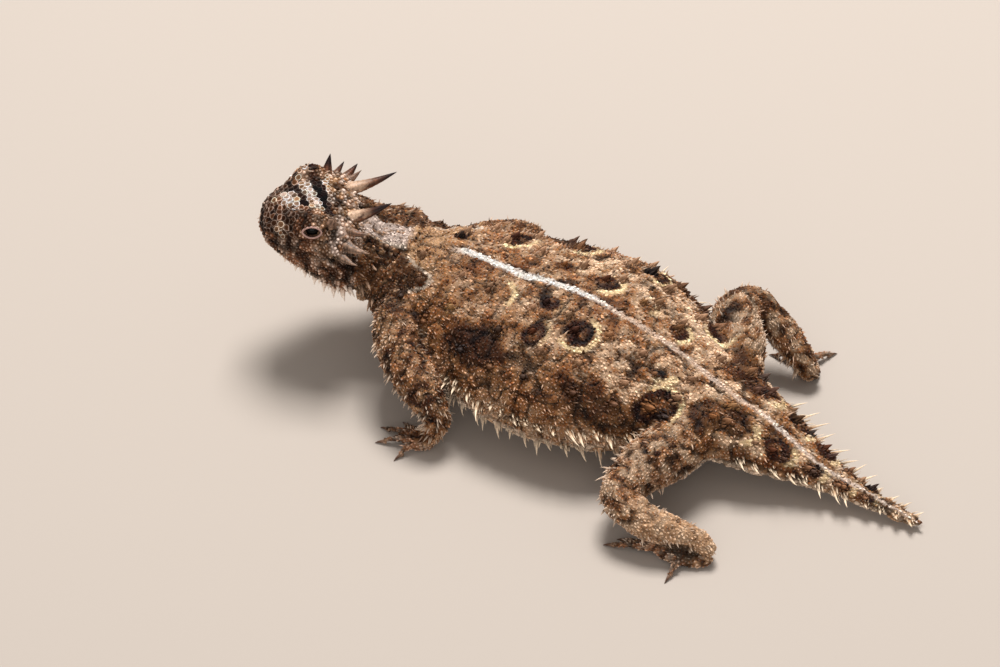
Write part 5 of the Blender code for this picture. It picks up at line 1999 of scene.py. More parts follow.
@dataclass
class ScaleCoat:
    """Small scales over all of the skin, each a closed solid on its own root."""

    animal: Animal
    skin: Skin
    markings: Markings
    seed: int = 5
    tries: float = 6.0
    back: float = 0.47
    flank: float = 0.43
    belly: float = 0.62
    tail: float = 0.50
    neck: float = 0.46
    crown: float = 0.64
    cheek: float = 0.50
    foreleg: float = 0.46
    hindleg: float = 0.42
    foot: float = 0.46
    sunk: float = 0.14  # how far each scale's foot lies under the skin
    lip_gap: float = 0.28  # how far scales stay from the line of the mouth
    nostril_gap: float = 0.5
    lid_gap: float = 1.12  # the size of what they leave free round an eye, as a share of its opening
    patch: ClassVar[float] = 0.0015  # each scale's size on the UV map

    def __post_init__(self) -> None:
        """Makes room for the small spines."""
        self.small = Spines(self.animal)

    def spacing(self, sites: Sites) -> Array:
        """How far apart scales grow at each place, in millimetres.

        Args:
            sites: The places.

        Returns:
            A distance for each place.
        """
        p, top = sites.points, sites.top
        vary = 0.82 + 0.4 * grain(p, 1.6, 31)
        trunk, neck, head, limb, foot = (sites.of(part) for part in Part)
        size = np.full(len(p), self.back)
        size[trunk] = self.back + (self.flank - self.back) * step_up(top[trunk], 0.7, 0.2)
        tail = trunk & (p[:, 0] > TAIL_X)
        size[tail] = self.tail - 0.14 * step_up(p[tail, 0], -22, -5)
        size = np.where(trunk & (top < -0.2), np.maximum(size, self.belly), size)
        size[neck], size[head], size[foot] = self.neck, self.cheek, self.foot
        size = np.where(self.plated(sites), self.crown * (1.0 + 0.14 * step_up(sites.along, 0.35, 0.6)), size)
        fore = self.foreleg - 0.12 * step_up(top, 0.3, -0.5)
        size[limb] = np.where(sites.form >= HINDLEG_LEFT, self.hindleg, fore)[limb]
        return size * np.where(head | foot, 0.9 + 0.2 * (vary - 0.8), vary)

    def plated(self, sites: Sites) -> Array:
        """Which places on the head carry plates.

        Args:
            sites: The places.

        Returns:
            A mask.
        """
        eyes = [apart(sites.points, self.animal.head.eye_frame(side)[0]) for side in (1, -1)]
        ahead, _, above = self.animal.head.local(sites.points).T
        over = (above > -1.5) | (ahead > 8.0)
        return sites.of(Part.HEAD) & (sites.top > 0.35) & (np.minimum(*eyes) > 3.0) & over

    def roots(self) -> tuple[Array, Array, Array]:
        """Random places for the scales, the directions out of the skin there, and their spacing.

        Returns:
            The three, with a row for each scale.
        """
        skin, chance = self.skin, np.random.default_rng(self.seed)
        wanted = self.spacing(skin.sites)
        corners = skin.points[skin.faces]
        across = np.cross(corners[:, 1] - corners[:, 0], corners[:, 2] - corners[:, 0])
        area = np.linalg.norm(across, axis=1) / 2
        weight = area / wanted[skin.faces].mean(1) ** 2
        count = int(self.tries * weight.sum())
        picked = np.searchsorted(np.cumsum(weight) / weight.sum(), chance.random(count))
        picked = np.minimum(picked, len(skin.faces) - 1)
        share = chance.random((count, 2))
        share = np.where(share.sum(1, keepdims=True) > 1, 1 - share, share)
        blend = np.stack([1 - share.sum(1), share[:, 0], share[:, 1]], 1)
        face = skin.faces[picked]
        places = (skin.points[face] * blend[..., None]).sum(1)
        outs = unit((skin.normals[face] * blend[..., None]).sum(1))
        sizes = (wanted[face] * blend).sum(1)
        free = self.clear(places)
        places, outs, sizes = places[free], outs[free], sizes[free]
        kept = self.thinned(places, sizes)
        return places[kept], outs[kept], sizes[kept]

    def clear(self, places: Array) -> Array:
        """Which places are off the eyes, the mouth's line and the nostrils.

        Args:
            places: The places, one a row.

        Returns:
            A mask.
        """
        free = np.ones(len(places), bool)
        head = self.animal.head
        for side in (1, -1):
            _, reach = self.skin.in_opening(places, side, self.lid_gap)
            centre, (out, _, _) = head.eye_frame(side)
            near = apart(places, centre) < 4
            free &= ~(near & (reach < 1) & ((places - centre) @ out > 0))
            line, _ = head.mouth_line(side, MOUTH_STEPS)
            close = np.where(apart(places, line.mean(0)) < MOUTH_REACH)[0]
            away = np.linalg.norm(places[close][:, None] - line[None], axis=2).min(1)
            free[close] &= away > self.lip_gap
            share, angle = head.nostril
            place, _ = head.surface(share, angle if side > 0 else 180 - angle)
            free &= apart(places, place) > self.nostril_gap
        return free & (places[:, 2] > 0.3)

    def thinned(self, places: Array, sizes: Array) -> Array:
        """Indexes of places that keep their spacing from each other, large ones being laid first.

        Args:
            places: The places.
            sizes: Their spacing.

        Returns:
            The indexes.
        """
        kept: list[int] = []
        grids: list[tuple[float, dict]] = []
        for low, high, cell in ((0.72, 9.0, 1.2), (0.0, 0.72, 0.74)):
            grid: dict[tuple[int, int, int], list[tuple[float, float, float, float]]] = {}
            grids.append((cell, grid))
            chosen = np.where((sizes >= low) & (sizes < high))[0]
            cells = [np.floor(places[chosen] / size).astype(int).tolist() for size, _ in grids]
            rows = places[chosen].tolist()
            for n, (index, (x, y, z), size) in enumerate(zip(chosen.tolist(), rows, sizes[chosen].tolist())):
                if all(self.fits(found[n], laid, x, y, z, size) for found, (_, laid) in zip(cells, grids)):
                    kept.append(index)
                    grid.setdefault(tuple(cells[-1][n]), []).append((x, y, z, size))
        return np.array(kept)

    @staticmethod
    def fits(cell: list[int], grid: dict, x: float, y: float, z: float, size: float) -> bool:
        """Whether a place keeps its spacing from those already in a grid.

        Args:
            cell: The grid's cell that it lies in.
            grid: The places in each cell, with their spacing.
            x: The place's own x.
            y: Its y.
            z: Its z.
            size: Its spacing.

        Returns:
            Whether it does.
        """
        i, j, k = cell
        for a in (i - 1, i, i + 1):
            for b in (j - 1, j, j + 1):
                for c in (k - 1, k, k + 1):
                    for px, py, pz, other in grid.get((a, b, c), ()):
                        if (px - x) ** 2 + (py - y) ** 2 + (pz - z) ** 2 < (size + other) ** 2 * 0.25:
                            return False
        return True

    def outlines(self, places: Array, back: Array, side: Array, sizes: Array, corners: int) -> Array:
        """How far each scale reaches before it meets its neighbours.

        Args:
            places: The scales' roots.
            back: The direction backwards at each.
            side: The direction sideways at each.
            sizes: Their spacing.
            corners: In how many directions each is measured.

        Returns:
            One row of distances for each scale.
        """
        tree = KDTree(len(places))
        for n, place in enumerate(places):
            tree.insert(place, n)
        tree.balance()
        near = np.array([[found[1] for found in tree.find_n(place, 10)][1:] for place in places])
        offset = places[near] - places[:, None]
        flat = np.stack([(offset * back[:, None]).sum(2), (offset * side[:, None]).sum(2)], 2)
        a = turn(corners)
        towards = np.stack([np.cos(a), np.sin(a)], 1)
        along = flat @ towards.T
        reach = np.where(along > 0.04, (flat**2).sum(2)[..., None] / 2 / np.maximum(along, 0.04), 9.0)
        return np.minimum(reach.min(1), (0.78 if corners == 6 else 1.1) * sizes[:, None])

    def build(self, shift: Array) -> None:
        """Makes the coat's pieces, and gathers the small spines that grow among the scales.

        Args:
            shift: From the animal's coordinates to the row frame, in millimetres.
        """
        places, outs, sizes = self.roots()
        sites = self.animal.survey(places)
        chance = np.random.default_rng(self.seed + 1)
        outs = self.unsettled(places, outs, sites, chance)
        back = unit(sites.back - outs * (sites.back * outs).sum(1, keepdims=True))
        side = np.cross(outs, back)
        colours = self.markings.colour(sites)
        jitter = chance.normal(0.0, 1.0, len(places)) * np.where(colours.max(1) > 0.5, 0.12, 0.22)
        colours = np.clip(colours * np.exp(jitter)[:, None], 0.003, 0.9)
        patches = self.animal.unwrapped(sites)
        kinds = self.kinds(sites)
        reach = {corners: self.outlines(places, back, side, sizes, corners) for corners in (6, 8)}
        finish = ScalyFinish("scales", roughness=0.72, specular=0.05, contrast=0.26, bump_mm=0.04)
        material = finish.material()
        tall = self.tall(sites, sizes, chance)
        self.raise_tall(sites.only(tall), outs[tall], sizes[tall], colours[tall], chance)
        for name, chosen in self.shares(sites):
            shells = []
            for kind in Kind:
                mask = chosen & ~tall & (kinds == kind.value)
                if mask.any():
                    lift = self.lifts(kind, sites, sizes, chance)[mask]
                    frame, spread = (back[mask], side[mask], outs[mask]), reach[kind.corners][mask]
                    own = colours[mask], patches[mask]
                    shells.append(self.solids(kind, places[mask], frame, spread, lift, *own))
            add_piece(name, Shell.joined(shells), material, shift)

    def unsettled(self, places: Array, outs: Array, sites: Sites, chance: np.random.Generator) -> Array:
        """The directions out of the skin, turned a little in clumps and for each scale alone.

        Args:
            places: The scales' roots.
            outs: The directions out of the skin there.
            sites: The places.
            chance: For their variation.

        Returns:
            A direction for each scale.
        """
        lean = np.stack([grain(places, 0.9, seed) - 0.5 for seed in (51, 52, 53)], 1) * 2.0
        lean += chance.normal(0.0, 0.16, places.shape)
        amount = np.where(sites.of(Part.HEAD) | sites.of(Part.FOOT), 0.4, 1.0)
        return unit(outs + lean * (amount * np.where(sites.top < BELLY_TOP, 0.25, 1.0))[:, None])

    def tall(self, sites: Sites, sizes: Array, chance: np.random.Generator) -> Array:
        """Which scales are small spines.

        Args:
            sites: The places.
            sizes: The scales' spacing.
            chance: For their variation.

        Returns:
            A mask.
        """
        share = np.zeros(len(sizes))
        shares = {Part.TRUNK: 0.07, Part.NECK: 0.07, Part.HEAD: 0.04, Part.LIMB: 0.06, Part.FOOT: 0.05}
        for part, value in shares.items():
            share[sites.of(part)] = value
        share += 0.07 * (sites.of(Part.TRUNK) & (sites.top < 0.6) & (sites.points[:, 0] < -40))
        share *= np.where(self.plated(sites) | (sites.top < -0.2) | (sites.points[:, 0] > -7), 0, 1)
        return chance.random(len(sizes)) < share

    def raise_tall(
        self, sites: Sites, outs: Array, sizes: Array, colours: Array, chance: np.random.Generator
    ) -> None:
        """Gathers the small spines that grow among the scales.

        Args:
            sites: Where they grow.
            outs: The directions out of the skin there.
            sizes: The scales' spacing there.
            colours: The skin's colours there.
            chance: For their variation.
        """
        lengths = sizes * chance.uniform(1.2, 2.8, len(sizes))
        faded = 0.45 * colours + 0.55 * colours.mean(1, keepdims=True) * np.array([1.12, 1.0, 0.88])
        pale = faded * np.minimum(2.2, 0.62 / faded.max(1, keepdims=True)) + np.array([0.03, 0.024, 0.017])
        self.small.add(sites.points, outs, sites.back, lengths, sizes * 0.42, colours * 0.6, pale)

    def kinds(self, sites: Sites) -> Array:
        """The kind of scale at each place.

        Args:
            sites: The places.

        Returns:
            The value of a kind for each place.
        """
        kinds = np.full(len(sites.points), Kind.KEELED.value)
        kinds[sites.of(Part.HEAD)] = Kind.GRANULE.value
        ahead, _, _ = self.animal.head.local(sites.points).T
        kinds[self.plated(sites) & (ahead > 4.6)] = Kind.PLATE.value
        kinds[sites.of(Part.TRUNK) & (sites.top < BELLY_TOP)] = Kind.TILE.value
        return kinds

    def lifts(self, kind: Kind, sites: Sites, sizes: Array, chance: np.random.Generator) -> Array:
        """How high each scale stands.

        Args:
            kind: Their kind.
            sites: The places.
            sizes: The scales' spacing.
            chance: For their variation.

        Returns:
            A height for each scale.
        """
        share = {Kind.KEELED: 0.42, Kind.GRANULE: 0.36, Kind.PLATE: 0.26, Kind.TILE: 0.16}[kind]
        limb = np.where(sites.of(Part.LIMB), np.where(sites.form >= HINDLEG_LEFT, 0.8, 1.0), 1.0)
        return sizes * share * limb * chance.uniform(0.65, 1.5, len(sizes))

    def solids(
        self,
        kind: Kind,
        places: Array,
        frame: tuple[Array, Array, Array],
        reach: Array,
        lift: Array,
        colours: Array,
        patches: Array,
    ) -> Shell:
        """Closed solids for scales of one kind.

        Args:
            kind: Their shape.
            places: Their roots.
            frame: For each, the directions backwards, sideways and out.
            reach: For each, how far it spreads towards each corner.
            lift: For each, its height.
            colours: Their colours.
            patches: Their places on the unwrapped skin.

        Returns:
            The solids as one shell.
        """
        back, _, out = (axis[:, None] for axis in frame)
        corners = kind.corners
        a, j = turn(corners), np.arange(corners)
        after, foot_ring = (j + 1) % corners, np.stack([np.cos(a), np.sin(a)], 1)
        ring = reach[..., None] * spokes(a, frame[0], frame[1])
        root, high = places[:, None], lift[:, None, None] * out
        foot = root + ring - out * self.sunk
        floor = np.stack([np.zeros(corners - 2, int), j[2:], j[1:-1]], 1)
        if kind is Kind.KEELED:
            tip = root + back * (reach[:, :1, None] * 0.95) + high
            crest = root - back * (reach[:, 3:4, None] * 0.25) + high * 0.62
            points = np.concatenate([foot, tip, crest], 1)
            faces = [(0, 1, 6), (5, 0, 6), (1, 2, 7), (1, 7, 6), (2, 3, 7), (3, 4, 7), (4, 5, 7), (5, 6, 7)]
            faces = np.concatenate([np.array(faces), floor])
            # painted shade round the foot of each keeled scale, painted highlights at its tip and crest
            light = np.array([0.32] * 6 + [1.25, 0.95])
            flat = np.concatenate([foot_ring, [[0.7, 0.0], [-0.2, 0.0]]])
        else:
            # share of the reach, height and painted lightness of each ring inside the foot, then of the
            # middle; below 1 is painted shade, above 1 a painted highlight
            rings, peak, centre = {
                Kind.GRANULE: (((0.62, 0.85, 0.95),), 1.45, 1.4),
                Kind.PLATE: (((0.94, 0.75, 3.4), (0.76, 0.85, 0.5)), 1.1, 0.30),
                Kind.TILE: (((0.84, 0.85, 1.0),), 1.05, 1.1),
            }[kind]
            middle = root + high * peak + back * (reach[:, :1, None] * 0.12)
            inner = [root + ring * share + high * rise for share, rise, _ in rings]
            points = np.concatenate([foot, *inner, middle], 1)
            bands = []
            for k in range(len(rings)):
                low, near = j + k * corners, after + k * corners
                bands.append(np.stack([low, near, near + corners], 1))
                bands.append(np.stack([low, near + corners, low + corners], 1))
            last = len(rings) * corners
            cap = np.stack([j + last, after + last, np.full(corners, last + corners)], 1)
            faces = np.concatenate([*bands, cap, floor])
            # painted shade: how dark the foot of each scale is painted
            deep = 0.7 if kind is Kind.PLATE else 0.26
            light = np.append(np.repeat([deep, *(lit for *_, lit in rings)], corners), centre)
            flat = np.concatenate([foot_ring, *(foot_ring * share for share, *_ in rings), [[0.0, 0.0]]])
        count, size = points.shape[:2]
        tints = self.tints(kind, colours, light)
        uv = patches[:, None] + flat[None] * self.patch
        all_faces = faces[None] + (np.arange(count) * size)[:, None, None]
        points[..., 2] = np.maximum(points[..., 2], FLOOR_GAP)
        return Shell(points.reshape(-1, 3), all_faces.reshape(-1, 3), tints.reshape(-1, 3), uv.reshape(-1, 2))

    @staticmethod
    def tints(kind: Kind, colours: Array, light: Array) -> Array:
        """Colours for the points of scales of one kind.

        Args:
            kind: Their shape.
            colours: Each scale's own colour.
            light: How light each point of a scale is painted, 1 being its own colour: less is painted shade,
                more a painted highlight.

        Returns:
            An array of (scales, points, 3), with painted shade, tinted brown, in the hollows and painted
            highlights, paler and greyer, at the tips.
        """
        plate = kind is Kind.PLATE
        brightest, mean = colours.max(1)[:, None, None], colours.mean(1)[:, None, None]
        even = step_up(brightest, 0.45, 0.75)
        soft = np.minimum(0.62 + 0.22 * light, 1.12) if plate else 0.8 + 0.27 * light
        lifted = step_up(brightest, 0.012, 0.04) if plate else 1.0
        light = light[None, :, None]
        light = np.where(light > 1, 1 + (light - 1) * lifted, light)
        light = light * (1 - even) + soft[None, :, None] * even
        # painted highlight: a glint added at the lightest points of each scale
        glint = (0.045 + 0.58 * mean) * np.array([0.99, 0.93, 0.86]) * (1 - even)
        # painted shade: the darkest points of each scale also turn brown
        hollow = np.array([0.95, 0.78, 0.62] if plate else [1.40, 0.74, 0.24])
        hollow_shade_tint = 1 + (hollow - 1) * step_up(light, 0.6, 0.3)
        # painted highlight: the lightest points also turn paler and greyer
        highlight_pale = mean * np.array([1.14, 1.0, 0.87]) - colours[:, None]
        tints = (colours[:, None] + highlight_pale * 0.6 * step_up(light, 0.9, 1.25)) * light * hollow_shade_tint
        return np.clip(tints + glint * step_up(light, 1.0, 1.5), 0.002, 0.95)

    def shares(self, sites: Sites) -> list[tuple[str, Array]]:
        """Names and members of the coat's pieces.

        Args:
            sites: The places.

        Returns:
            Each piece's name and a mask of its scales.
        """
        x, trunk = sites.points[:, 0], sites.of(Part.TRUNK)
        left = sites.points[:, 1] < MIDDLE_Y
        tail = trunk & (x > TAIL_X)
        body = trunk & ~tail
        return [
            ("scales_back_left", body & left & (sites.top >= BELLY_TOP)),
            ("scales_back_right", body & ~left & (sites.top >= BELLY_TOP)),
            ("scales_belly", body & (sites.top < BELLY_TOP)),
            ("scales_tail", tail),
            ("scales_head", sites.of(Part.HEAD)),
            ("scales_neck", sites.of(Part.NECK)),
            ("scales_forelegs", sites.of(Part.LIMB) & (x < -70)),
            ("scales_hindlegs", sites.of(Part.LIMB) & (x >= -70)),
            ("scales_feet", sites.of(Part.FOOT)),
        ]


# ---------------------------------------------------------------- spines


@dataclass
class Spines:
    """Thin curved spines, gathered and then made as closed cones that bend back towards their tips."""

    animal: Animal
    rows: list[Array] = field(default_factory=list)
    sunk: float = 0.35  # how far their lower ends lie under the roots

    def add(
        self, roots: Array, outs: Array, leans: Array, lengths: Array, radii: Array, bases: Array, tips: Array
    ) -> None:
        """Gathers some spines.

        Args:
            roots: Where they grow, one a row.
            outs: The directions out of the skin.
            leans: The directions that they bend towards.
            lengths: Their lengths.
            radii: Their radii at the root.
            bases: Their colours at the root.
            tips: Their colours at the tip.
        """
        roots = np.atleast_2d(roots)
        count = len(roots)
        columns = []
        given = (roots, outs, leans, lengths, radii, bases, tips)
        for values, width in zip(given, (3, 3, 3, 1, 1, 3, 3)):
            values = np.asarray(values, float).reshape(-1, width)
            columns.append(np.broadcast_to(values, (count, width)))
        self.rows.append(np.concatenate(columns, 1))

    def shell(self, sides: int = 6, rings: int = 5) -> Shell:
        """All of the gathered spines.

        Args:
            sides: Steps round each.
            rings: Steps along each.

        Returns:
            The spines as one shell, with their colours and patches.
        """
        data = np.concatenate(self.rows)
        root, out, lean, length, radius, base, tip = np.split(data, [3, 6, 9, 10, 11, 14], axis=1)
        out, lean = unit(out), unit(lean)
        heading = unit(out + 0.6 * lean)
        end = root + heading * length * 0.45 + unit(heading + 0.7 * lean) * length * 0.55
        start, control = root - out * self.sunk, root + heading * length * 0.5
        across = unit(np.cross(out, lean))
        fore = np.cross(across, out)
        share = np.linspace(0, 1, rings + 1)[:-1][None, :, None]
        centre = (1 - share) ** 2 * start[:, None] + 2 * share * (1 - share) * control[:, None]
        centre = centre + share**2 * end[:, None]
        size = radius[:, None] * ((1 - share) ** 0.85 + 0.3 * np.exp(-((share / 0.13) ** 2)))
        a = turn(sides)
        c, s = np.cos(a)[None, :, None], np.sin(a)[None, :, None]
        ring = c * fore[:, None] * 1.15 + s * across[:, None] * 0.85
        body = centre[:, :, None] + size[:, :, None] * ring[:, None]
        points = np.concatenate([body.reshape(len(data), -1, 3), end[:, None]], 1)
        j, k = np.arange(sides), np.arange(rings - 1)[:, None]
        after, last = (j + 1) % sides, rings * sides
        low, high = k * sides + j, k * sides + after
        faces = [
            np.stack([low, high, high + sides], -1).reshape(-1, 3),
            np.stack([low, high + sides, low + sides], -1).reshape(-1, 3),
            np.stack([last - sides + j, last - sides + after, np.full(sides, last)], 1),
            np.stack([np.zeros(sides - 2, int), j[2:], j[1:-1]], 1),
        ]
        faces = np.concatenate(faces)
        blend = step_up(np.append(np.repeat(share.ravel(), sides), 1.0), 0.05, 0.6)[None, :, None]
        tints = base[:, None] * (1 - blend) + tip[:, None] * blend
        spot = self.animal.unwrapped(self.animal.survey(root))
        flat = np.concatenate([np.tile(np.stack([np.cos(a), np.sin(a)], 1), (rings, 1)), [[0.0, 0.0]]])
        fade = np.append(np.repeat(1 - share.ravel(), sides), 0.0)[:, None]
        uv = spot[:, None] + (flat * fade)[None] * ScaleCoat.patch
        faces = faces[None] + (np.arange(len(data)) * points.shape[1])[:, None, None]
        points[..., 2] = np.maximum(points[..., 2], FLOOR_GAP)
        return Shell(points.reshape(-1, 3), faces.reshape(-1, 3), tints.reshape(-1, 3), uv.reshape(-1, 2))


@dataclass(frozen=True)
class SpineRow:
    """A row of spines along both sides of the trunk."""

    first: float
    last: float
    count: int
    angle: float
    length: float
    radius: float
    slant: float


FRINGE = (SpineRow(-87, -49, 18, 4, 3.3, 0.65, 0.5), SpineRow(-82, -51, 14, -17, 2.4, 0.58, 0.55))
BACK = (
    SpineRow(-93, -39, 9, 33, 1.7, 0.8, 1.2),
    SpineRow(-90, -37, 8, 52, 1.8, 0.85, 1.2),
    SpineRow(-92.5, -38, 9, 72, 1.6, 0.8, 1.2),
)
TAIL_BASE = (SpineRow(-32.6, -16.8, 8, 2, 2.4, 0.55, 0.7), SpineRow(-31.5, -17.5, 4, 45, 1.3, 0.6, 1.2))
TAIL_TIP = (SpineRow(-13.8, -6, 4, 5, 1.1, 0.5, 0.9),)
# share of the neck or head, angle round it, length
NECK_SPINES = (
    (0.30, 6, 2.6), (0.42, -8, 2.8), (0.55, 10, 2.4), (0.66, -6, 2.2),
    (0.48, 34, 1.7), (0.36, 60, 1.4), (0.30, 174, 2.6), (0.42, 188, 2.8),
    (0.55, 170, 2.6), (0.66, 186, 2.2), (0.48, 146, 1.9), (0.36, 120, 1.6),
)
JAW_SPINES = (
    (0.06, -33, 2.0), (0.15, -38, 2.2), (0.25, -41, 2.1), (0.35, -43, 1.9),
    (0.45, -45, 1.7), (0.55, -47, 1.5), (0.65, -49, 1.3), (0.76, -52, 1.1),
)


@dataclass(frozen=True)
class Large:
    """A large spine, with what the small ones round its root need to know."""

    root: Array
    out: Array
    lean: Array
    length: float
    radius: float
    own: Array  # the skin's colour at its root
    tip: Array  # the colour of its tip


@dataclass
class Armour:
    """The fringes, and the spines of the back, tail, neck, jaw and legs."""

    animal: Animal
    markings: Markings
    shift: Array
    seed: int = 21
    tail_tip_x: float = -15.0  # where the spines of the tail's tip start
    on_foreleg: int = 210  # how many places are tried on a foreleg
    on_hindleg: int = 240
    ivory: ClassVar[Array] = srgb(240, 216, 186)
    cone: ClassVar[Array] = srgb(150, 112, 82)
    dark_cone: ClassVar[Array] = srgb(96, 66, 46)
    neck_tip: ClassVar[Array] = srgb(178, 146, 122)
    jaw_base: ClassVar[Array] = srgb(224, 198, 178)
    jaw_tip: ClassVar[Array] = srgb(250, 232, 216)
    leg_tip: ClassVar[Array] = srgb(224, 198, 174)

    def own(self, root: Array) -> Array:
        """The skin's colour at a place."""
        return self.markings.colour(self.animal.survey(root[None]))[0]

    def along_trunk(
        self, rows: tuple[SpineRow, ...], start: float, end: float, seed: int, spines: Spines
    ) -> None:
        """Adds rows of spines along both sides of a length of the trunk.

        Args:
            rows: The rows.
            start: Where the length starts.
            end: Where it ends.
            seed: For their variation.
            spines: What they are added to.
        """
        chance = np.random.default_rng(seed)
        for row in rows:
            pitch = (row.last - row.first) / max(1, row.count - 1)
            for side in (1, -1):
                for k in range(row.count):
                    x = row.first + pitch * (k + (0.25 if side > 0 else 0.0) + chance.uniform(-0.2, 0.2))
                    turned = row.angle + chance.uniform(-2.5, 2.5)
                    length = row.length * chance.uniform(0.8, 1.15)
                    if start + row.radius < x < end - 0.5:
                        place = self.animal.trunk.surface(x, turned if side > 0 else 180 - turned)
                        self.one(spines, row, place, length, chance)

    def one(
        self,
        spines: Spines,
        row: SpineRow,
        place: tuple[Array, Array],
        length: float,
        chance: np.random.Generator,
    ) -> None:
        """Adds a spine of a row, with small ones round its root.

        Args:
            spines: What they are added to.
            row: The row.
            place: The spine's root and the direction out of the skin.
            length: Its length.
            chance: For its variation.
        """
        root, out = place
        lean = np.array([row.slant, 0.0, 0.15 if row.angle > 0 else -0.1]) + 0.2 * out
        fringe = row.angle < 20
        lean += chance.normal(0.0, 0.22, 3) * fringe
        length *= chance.uniform(0.7, 1.15) if fringe else 1.0
        own = self.own(root)
        own = own if fringe else np.minimum(own, self.cone)
        tip = self.ivory if fringe else np.clip(own * 1.5 + 0.05, 0, 0.6) * chance.uniform(0.6, 1.1)
        length *= 1.5 if fringe and root[0] > TAIL_X else 1.0
        slim, base = (0.55, own * 0.9) if fringe else (0.75, own * 0.6)
        spines.add(root - out * 0.15, out, lean, length, row.radius * slim, base, tip)
        self.skirt(spines, Large(root, out, lean, length, row.radius, own, tip), 6 if fringe else 9, chance)

    def skirt(self, spines: Spines, large: Large, count: int, chance: np.random.Generator) -> None:
        """Adds small uneven spines round the root of a large one, which lean on it.

        Args:
            spines: What they are added to.
            large: The large one.
            count: How many.
            chance: For their variation.
        """
        root, out = large.root, large.out
        ahead = unit(np.array([1.0, 0.0, 0.0]) - out * out[0])
        for n in range(count):
            a = 2 * math.pi * (n + chance.uniform(-0.4, 0.4)) / count
            offset = ahead * math.cos(a) + np.cross(out, ahead) * math.sin(a)
            offset = offset * large.radius * chance.uniform(0.7, 1.5)
            small, wide = large.length * chance.uniform(0.22, 0.6), large.radius * chance.uniform(0.22, 0.4)
            towards = unit(out - 0.15 * offset + chance.normal(0, 0.12, 3))
            tip = large.tip * chance.uniform(0.6, 1.0)
            spines.add(root + offset - out * 0.3, towards, large.lean, small, wide, large.own * 0.5, tip)

    def on_blotches(self, spines: Spines) -> None:
        """Adds a dark cone towards the front of each blotch of the back.

        Args:
            spines: What they are added to.
        """
        chance = np.random.default_rng(self.seed + 1)
        for blotch in BLOTCHES:
            size = min(blotch.long, blotch.wide) * blotch.dark
            x, degrees = blotch.x - 0.3 * blotch.long, blotch.degrees + chance.uniform(-3, 3)
            root, out = self.animal.trunk.surface(x, degrees)
            lean = np.array([1.0, 0.0, 0.0]) + 0.2 * out
            own = np.minimum(self.own(root), self.dark_cone)
            tip = np.clip(own * 2.2 + np.array([0.03, 0.022, 0.016]), 0, 0.5)
            length, radius = 0.9 + 0.4 * size, 0.3 + 0.14 * size
            spines.add(root - out * 0.1, out, lean, length, radius, own * 0.7, tip)
            self.skirt(spines, Large(root, out, lean, length, radius * 1.2, own, tip), 10, chance)

    def on_neck(self, spines: Spines) -> None:
        """Adds the spines of the neck.

        Args:
            spines: What they are added to.
        """
        for share, degrees, length in NECK_SPINES:
            root, out, lean = self.animal.neck.surface(share, degrees)
            spines.add(root - out * 0.2, out, lean, 0.72 * length, 0.42, self.own(root) * 0.7, self.neck_tip)

    def on_jaw(self, spines: Spines) -> None:
        """Adds the spines along the lower jaw, and a finer row on each side of them.

        Args:
            spines: What they are added to.
        """
        head = self.animal.head
        lean = head.vector(-0.5, 0.0, -0.6)
        for side in (1, -1):
            for share, degrees, length in JAW_SPINES:
                for shift, lift, size in ((0.0, 0.0, 1.0), (0.05, 9.0, 0.55), (0.02, -8.0, 0.6)):
                    at = degrees + lift
                    root, out = head.surface(share + shift, at if side > 0 else 180 - at)
                    base = 0.2 * self.own(root) + 0.8 * self.jaw_base
                    thick = 0.52 * size**0.5
                    spines.add(root - out * 0.2, out, lean, length * size * 0.85, thick, base, self.jaw_tip)

    def on_limbs(self, spines: Spines) -> None:
        """Adds the pointed scales of the legs.

        Args:
            spines: What they are added to.
        """
        chance = np.random.default_rng(self.seed)
        for limb in self.animal.limbs:
            fore = limb.name.startswith("fore")
            for _ in range(self.on_foreleg if fore else self.on_hindleg):
                share = chance.uniform(0.24, 0.93)
                middle, size, (tangent, side, top) = limb.at(share)
                a = chance.uniform(0, 2 * math.pi)
                out = side * math.cos(a) + top * math.sin(a)
                if out[2] < -0.5 or (limb.name == "foreleg_right" and share < 0.55):
                    continue
                outward = math.copysign(1.0, middle[1] - MIDDLE_Y)
                edge = (-out[0], 0.6 * out[1] * outward) if fore else (-out[2] + 0.4, -0.9 * out[0])
                edge = max(0.0, *edge)
                if not fore and edge < 0.35:
                    continue
                length = chance.uniform(0.5, 1.1) + 1.3 * edge**2 * chance.uniform(0.2, 1.0)
                root = middle + out * (size - 0.3)
                own, pale = self.own(root), self.leg_tip * (0.35 + 0.65 * edge)
                heading = unit(out + chance.normal(0, 0.2, 3))
                spines.add(root, heading, tangent, length, 0.18 + 0.12 * edge, own * 0.8, pale)

    def build(self, small: Spines) -> None:
        """Makes all the spines' pieces, the given small ones among the scales too.

        Args:
            small: The small spines among the scales.
        """
        material = HornFinish("spine_horn", roughness=0.6, specular=0.08, contrast=0.25).material()
        trunk, head, legs = Spines(self.animal), Spines(self.animal), Spines(self.animal)
        form = self.animal.trunk
        self.along_trunk(FRINGE + BACK, form.shoulder_x, TAIL_X, 11, trunk)
        self.on_blotches(trunk)
        self.along_trunk(TAIL_BASE, TAIL_X, self.tail_tip_x, 12, trunk)
        self.along_trunk(TAIL_TIP, self.tail_tip_x, form.tail_tip_x, 12, trunk)
        self.on_neck(head)
        self.on_jaw(head)
        self.on_limbs(legs)
        for name, spines in (("trunk", trunk), ("head", head), ("legs", legs), ("small", small)):
            add_piece(f"spines_{name}", spines.shell(), material, self.shift)


# ---------------------------------------------------------------- horns, claws and eyes


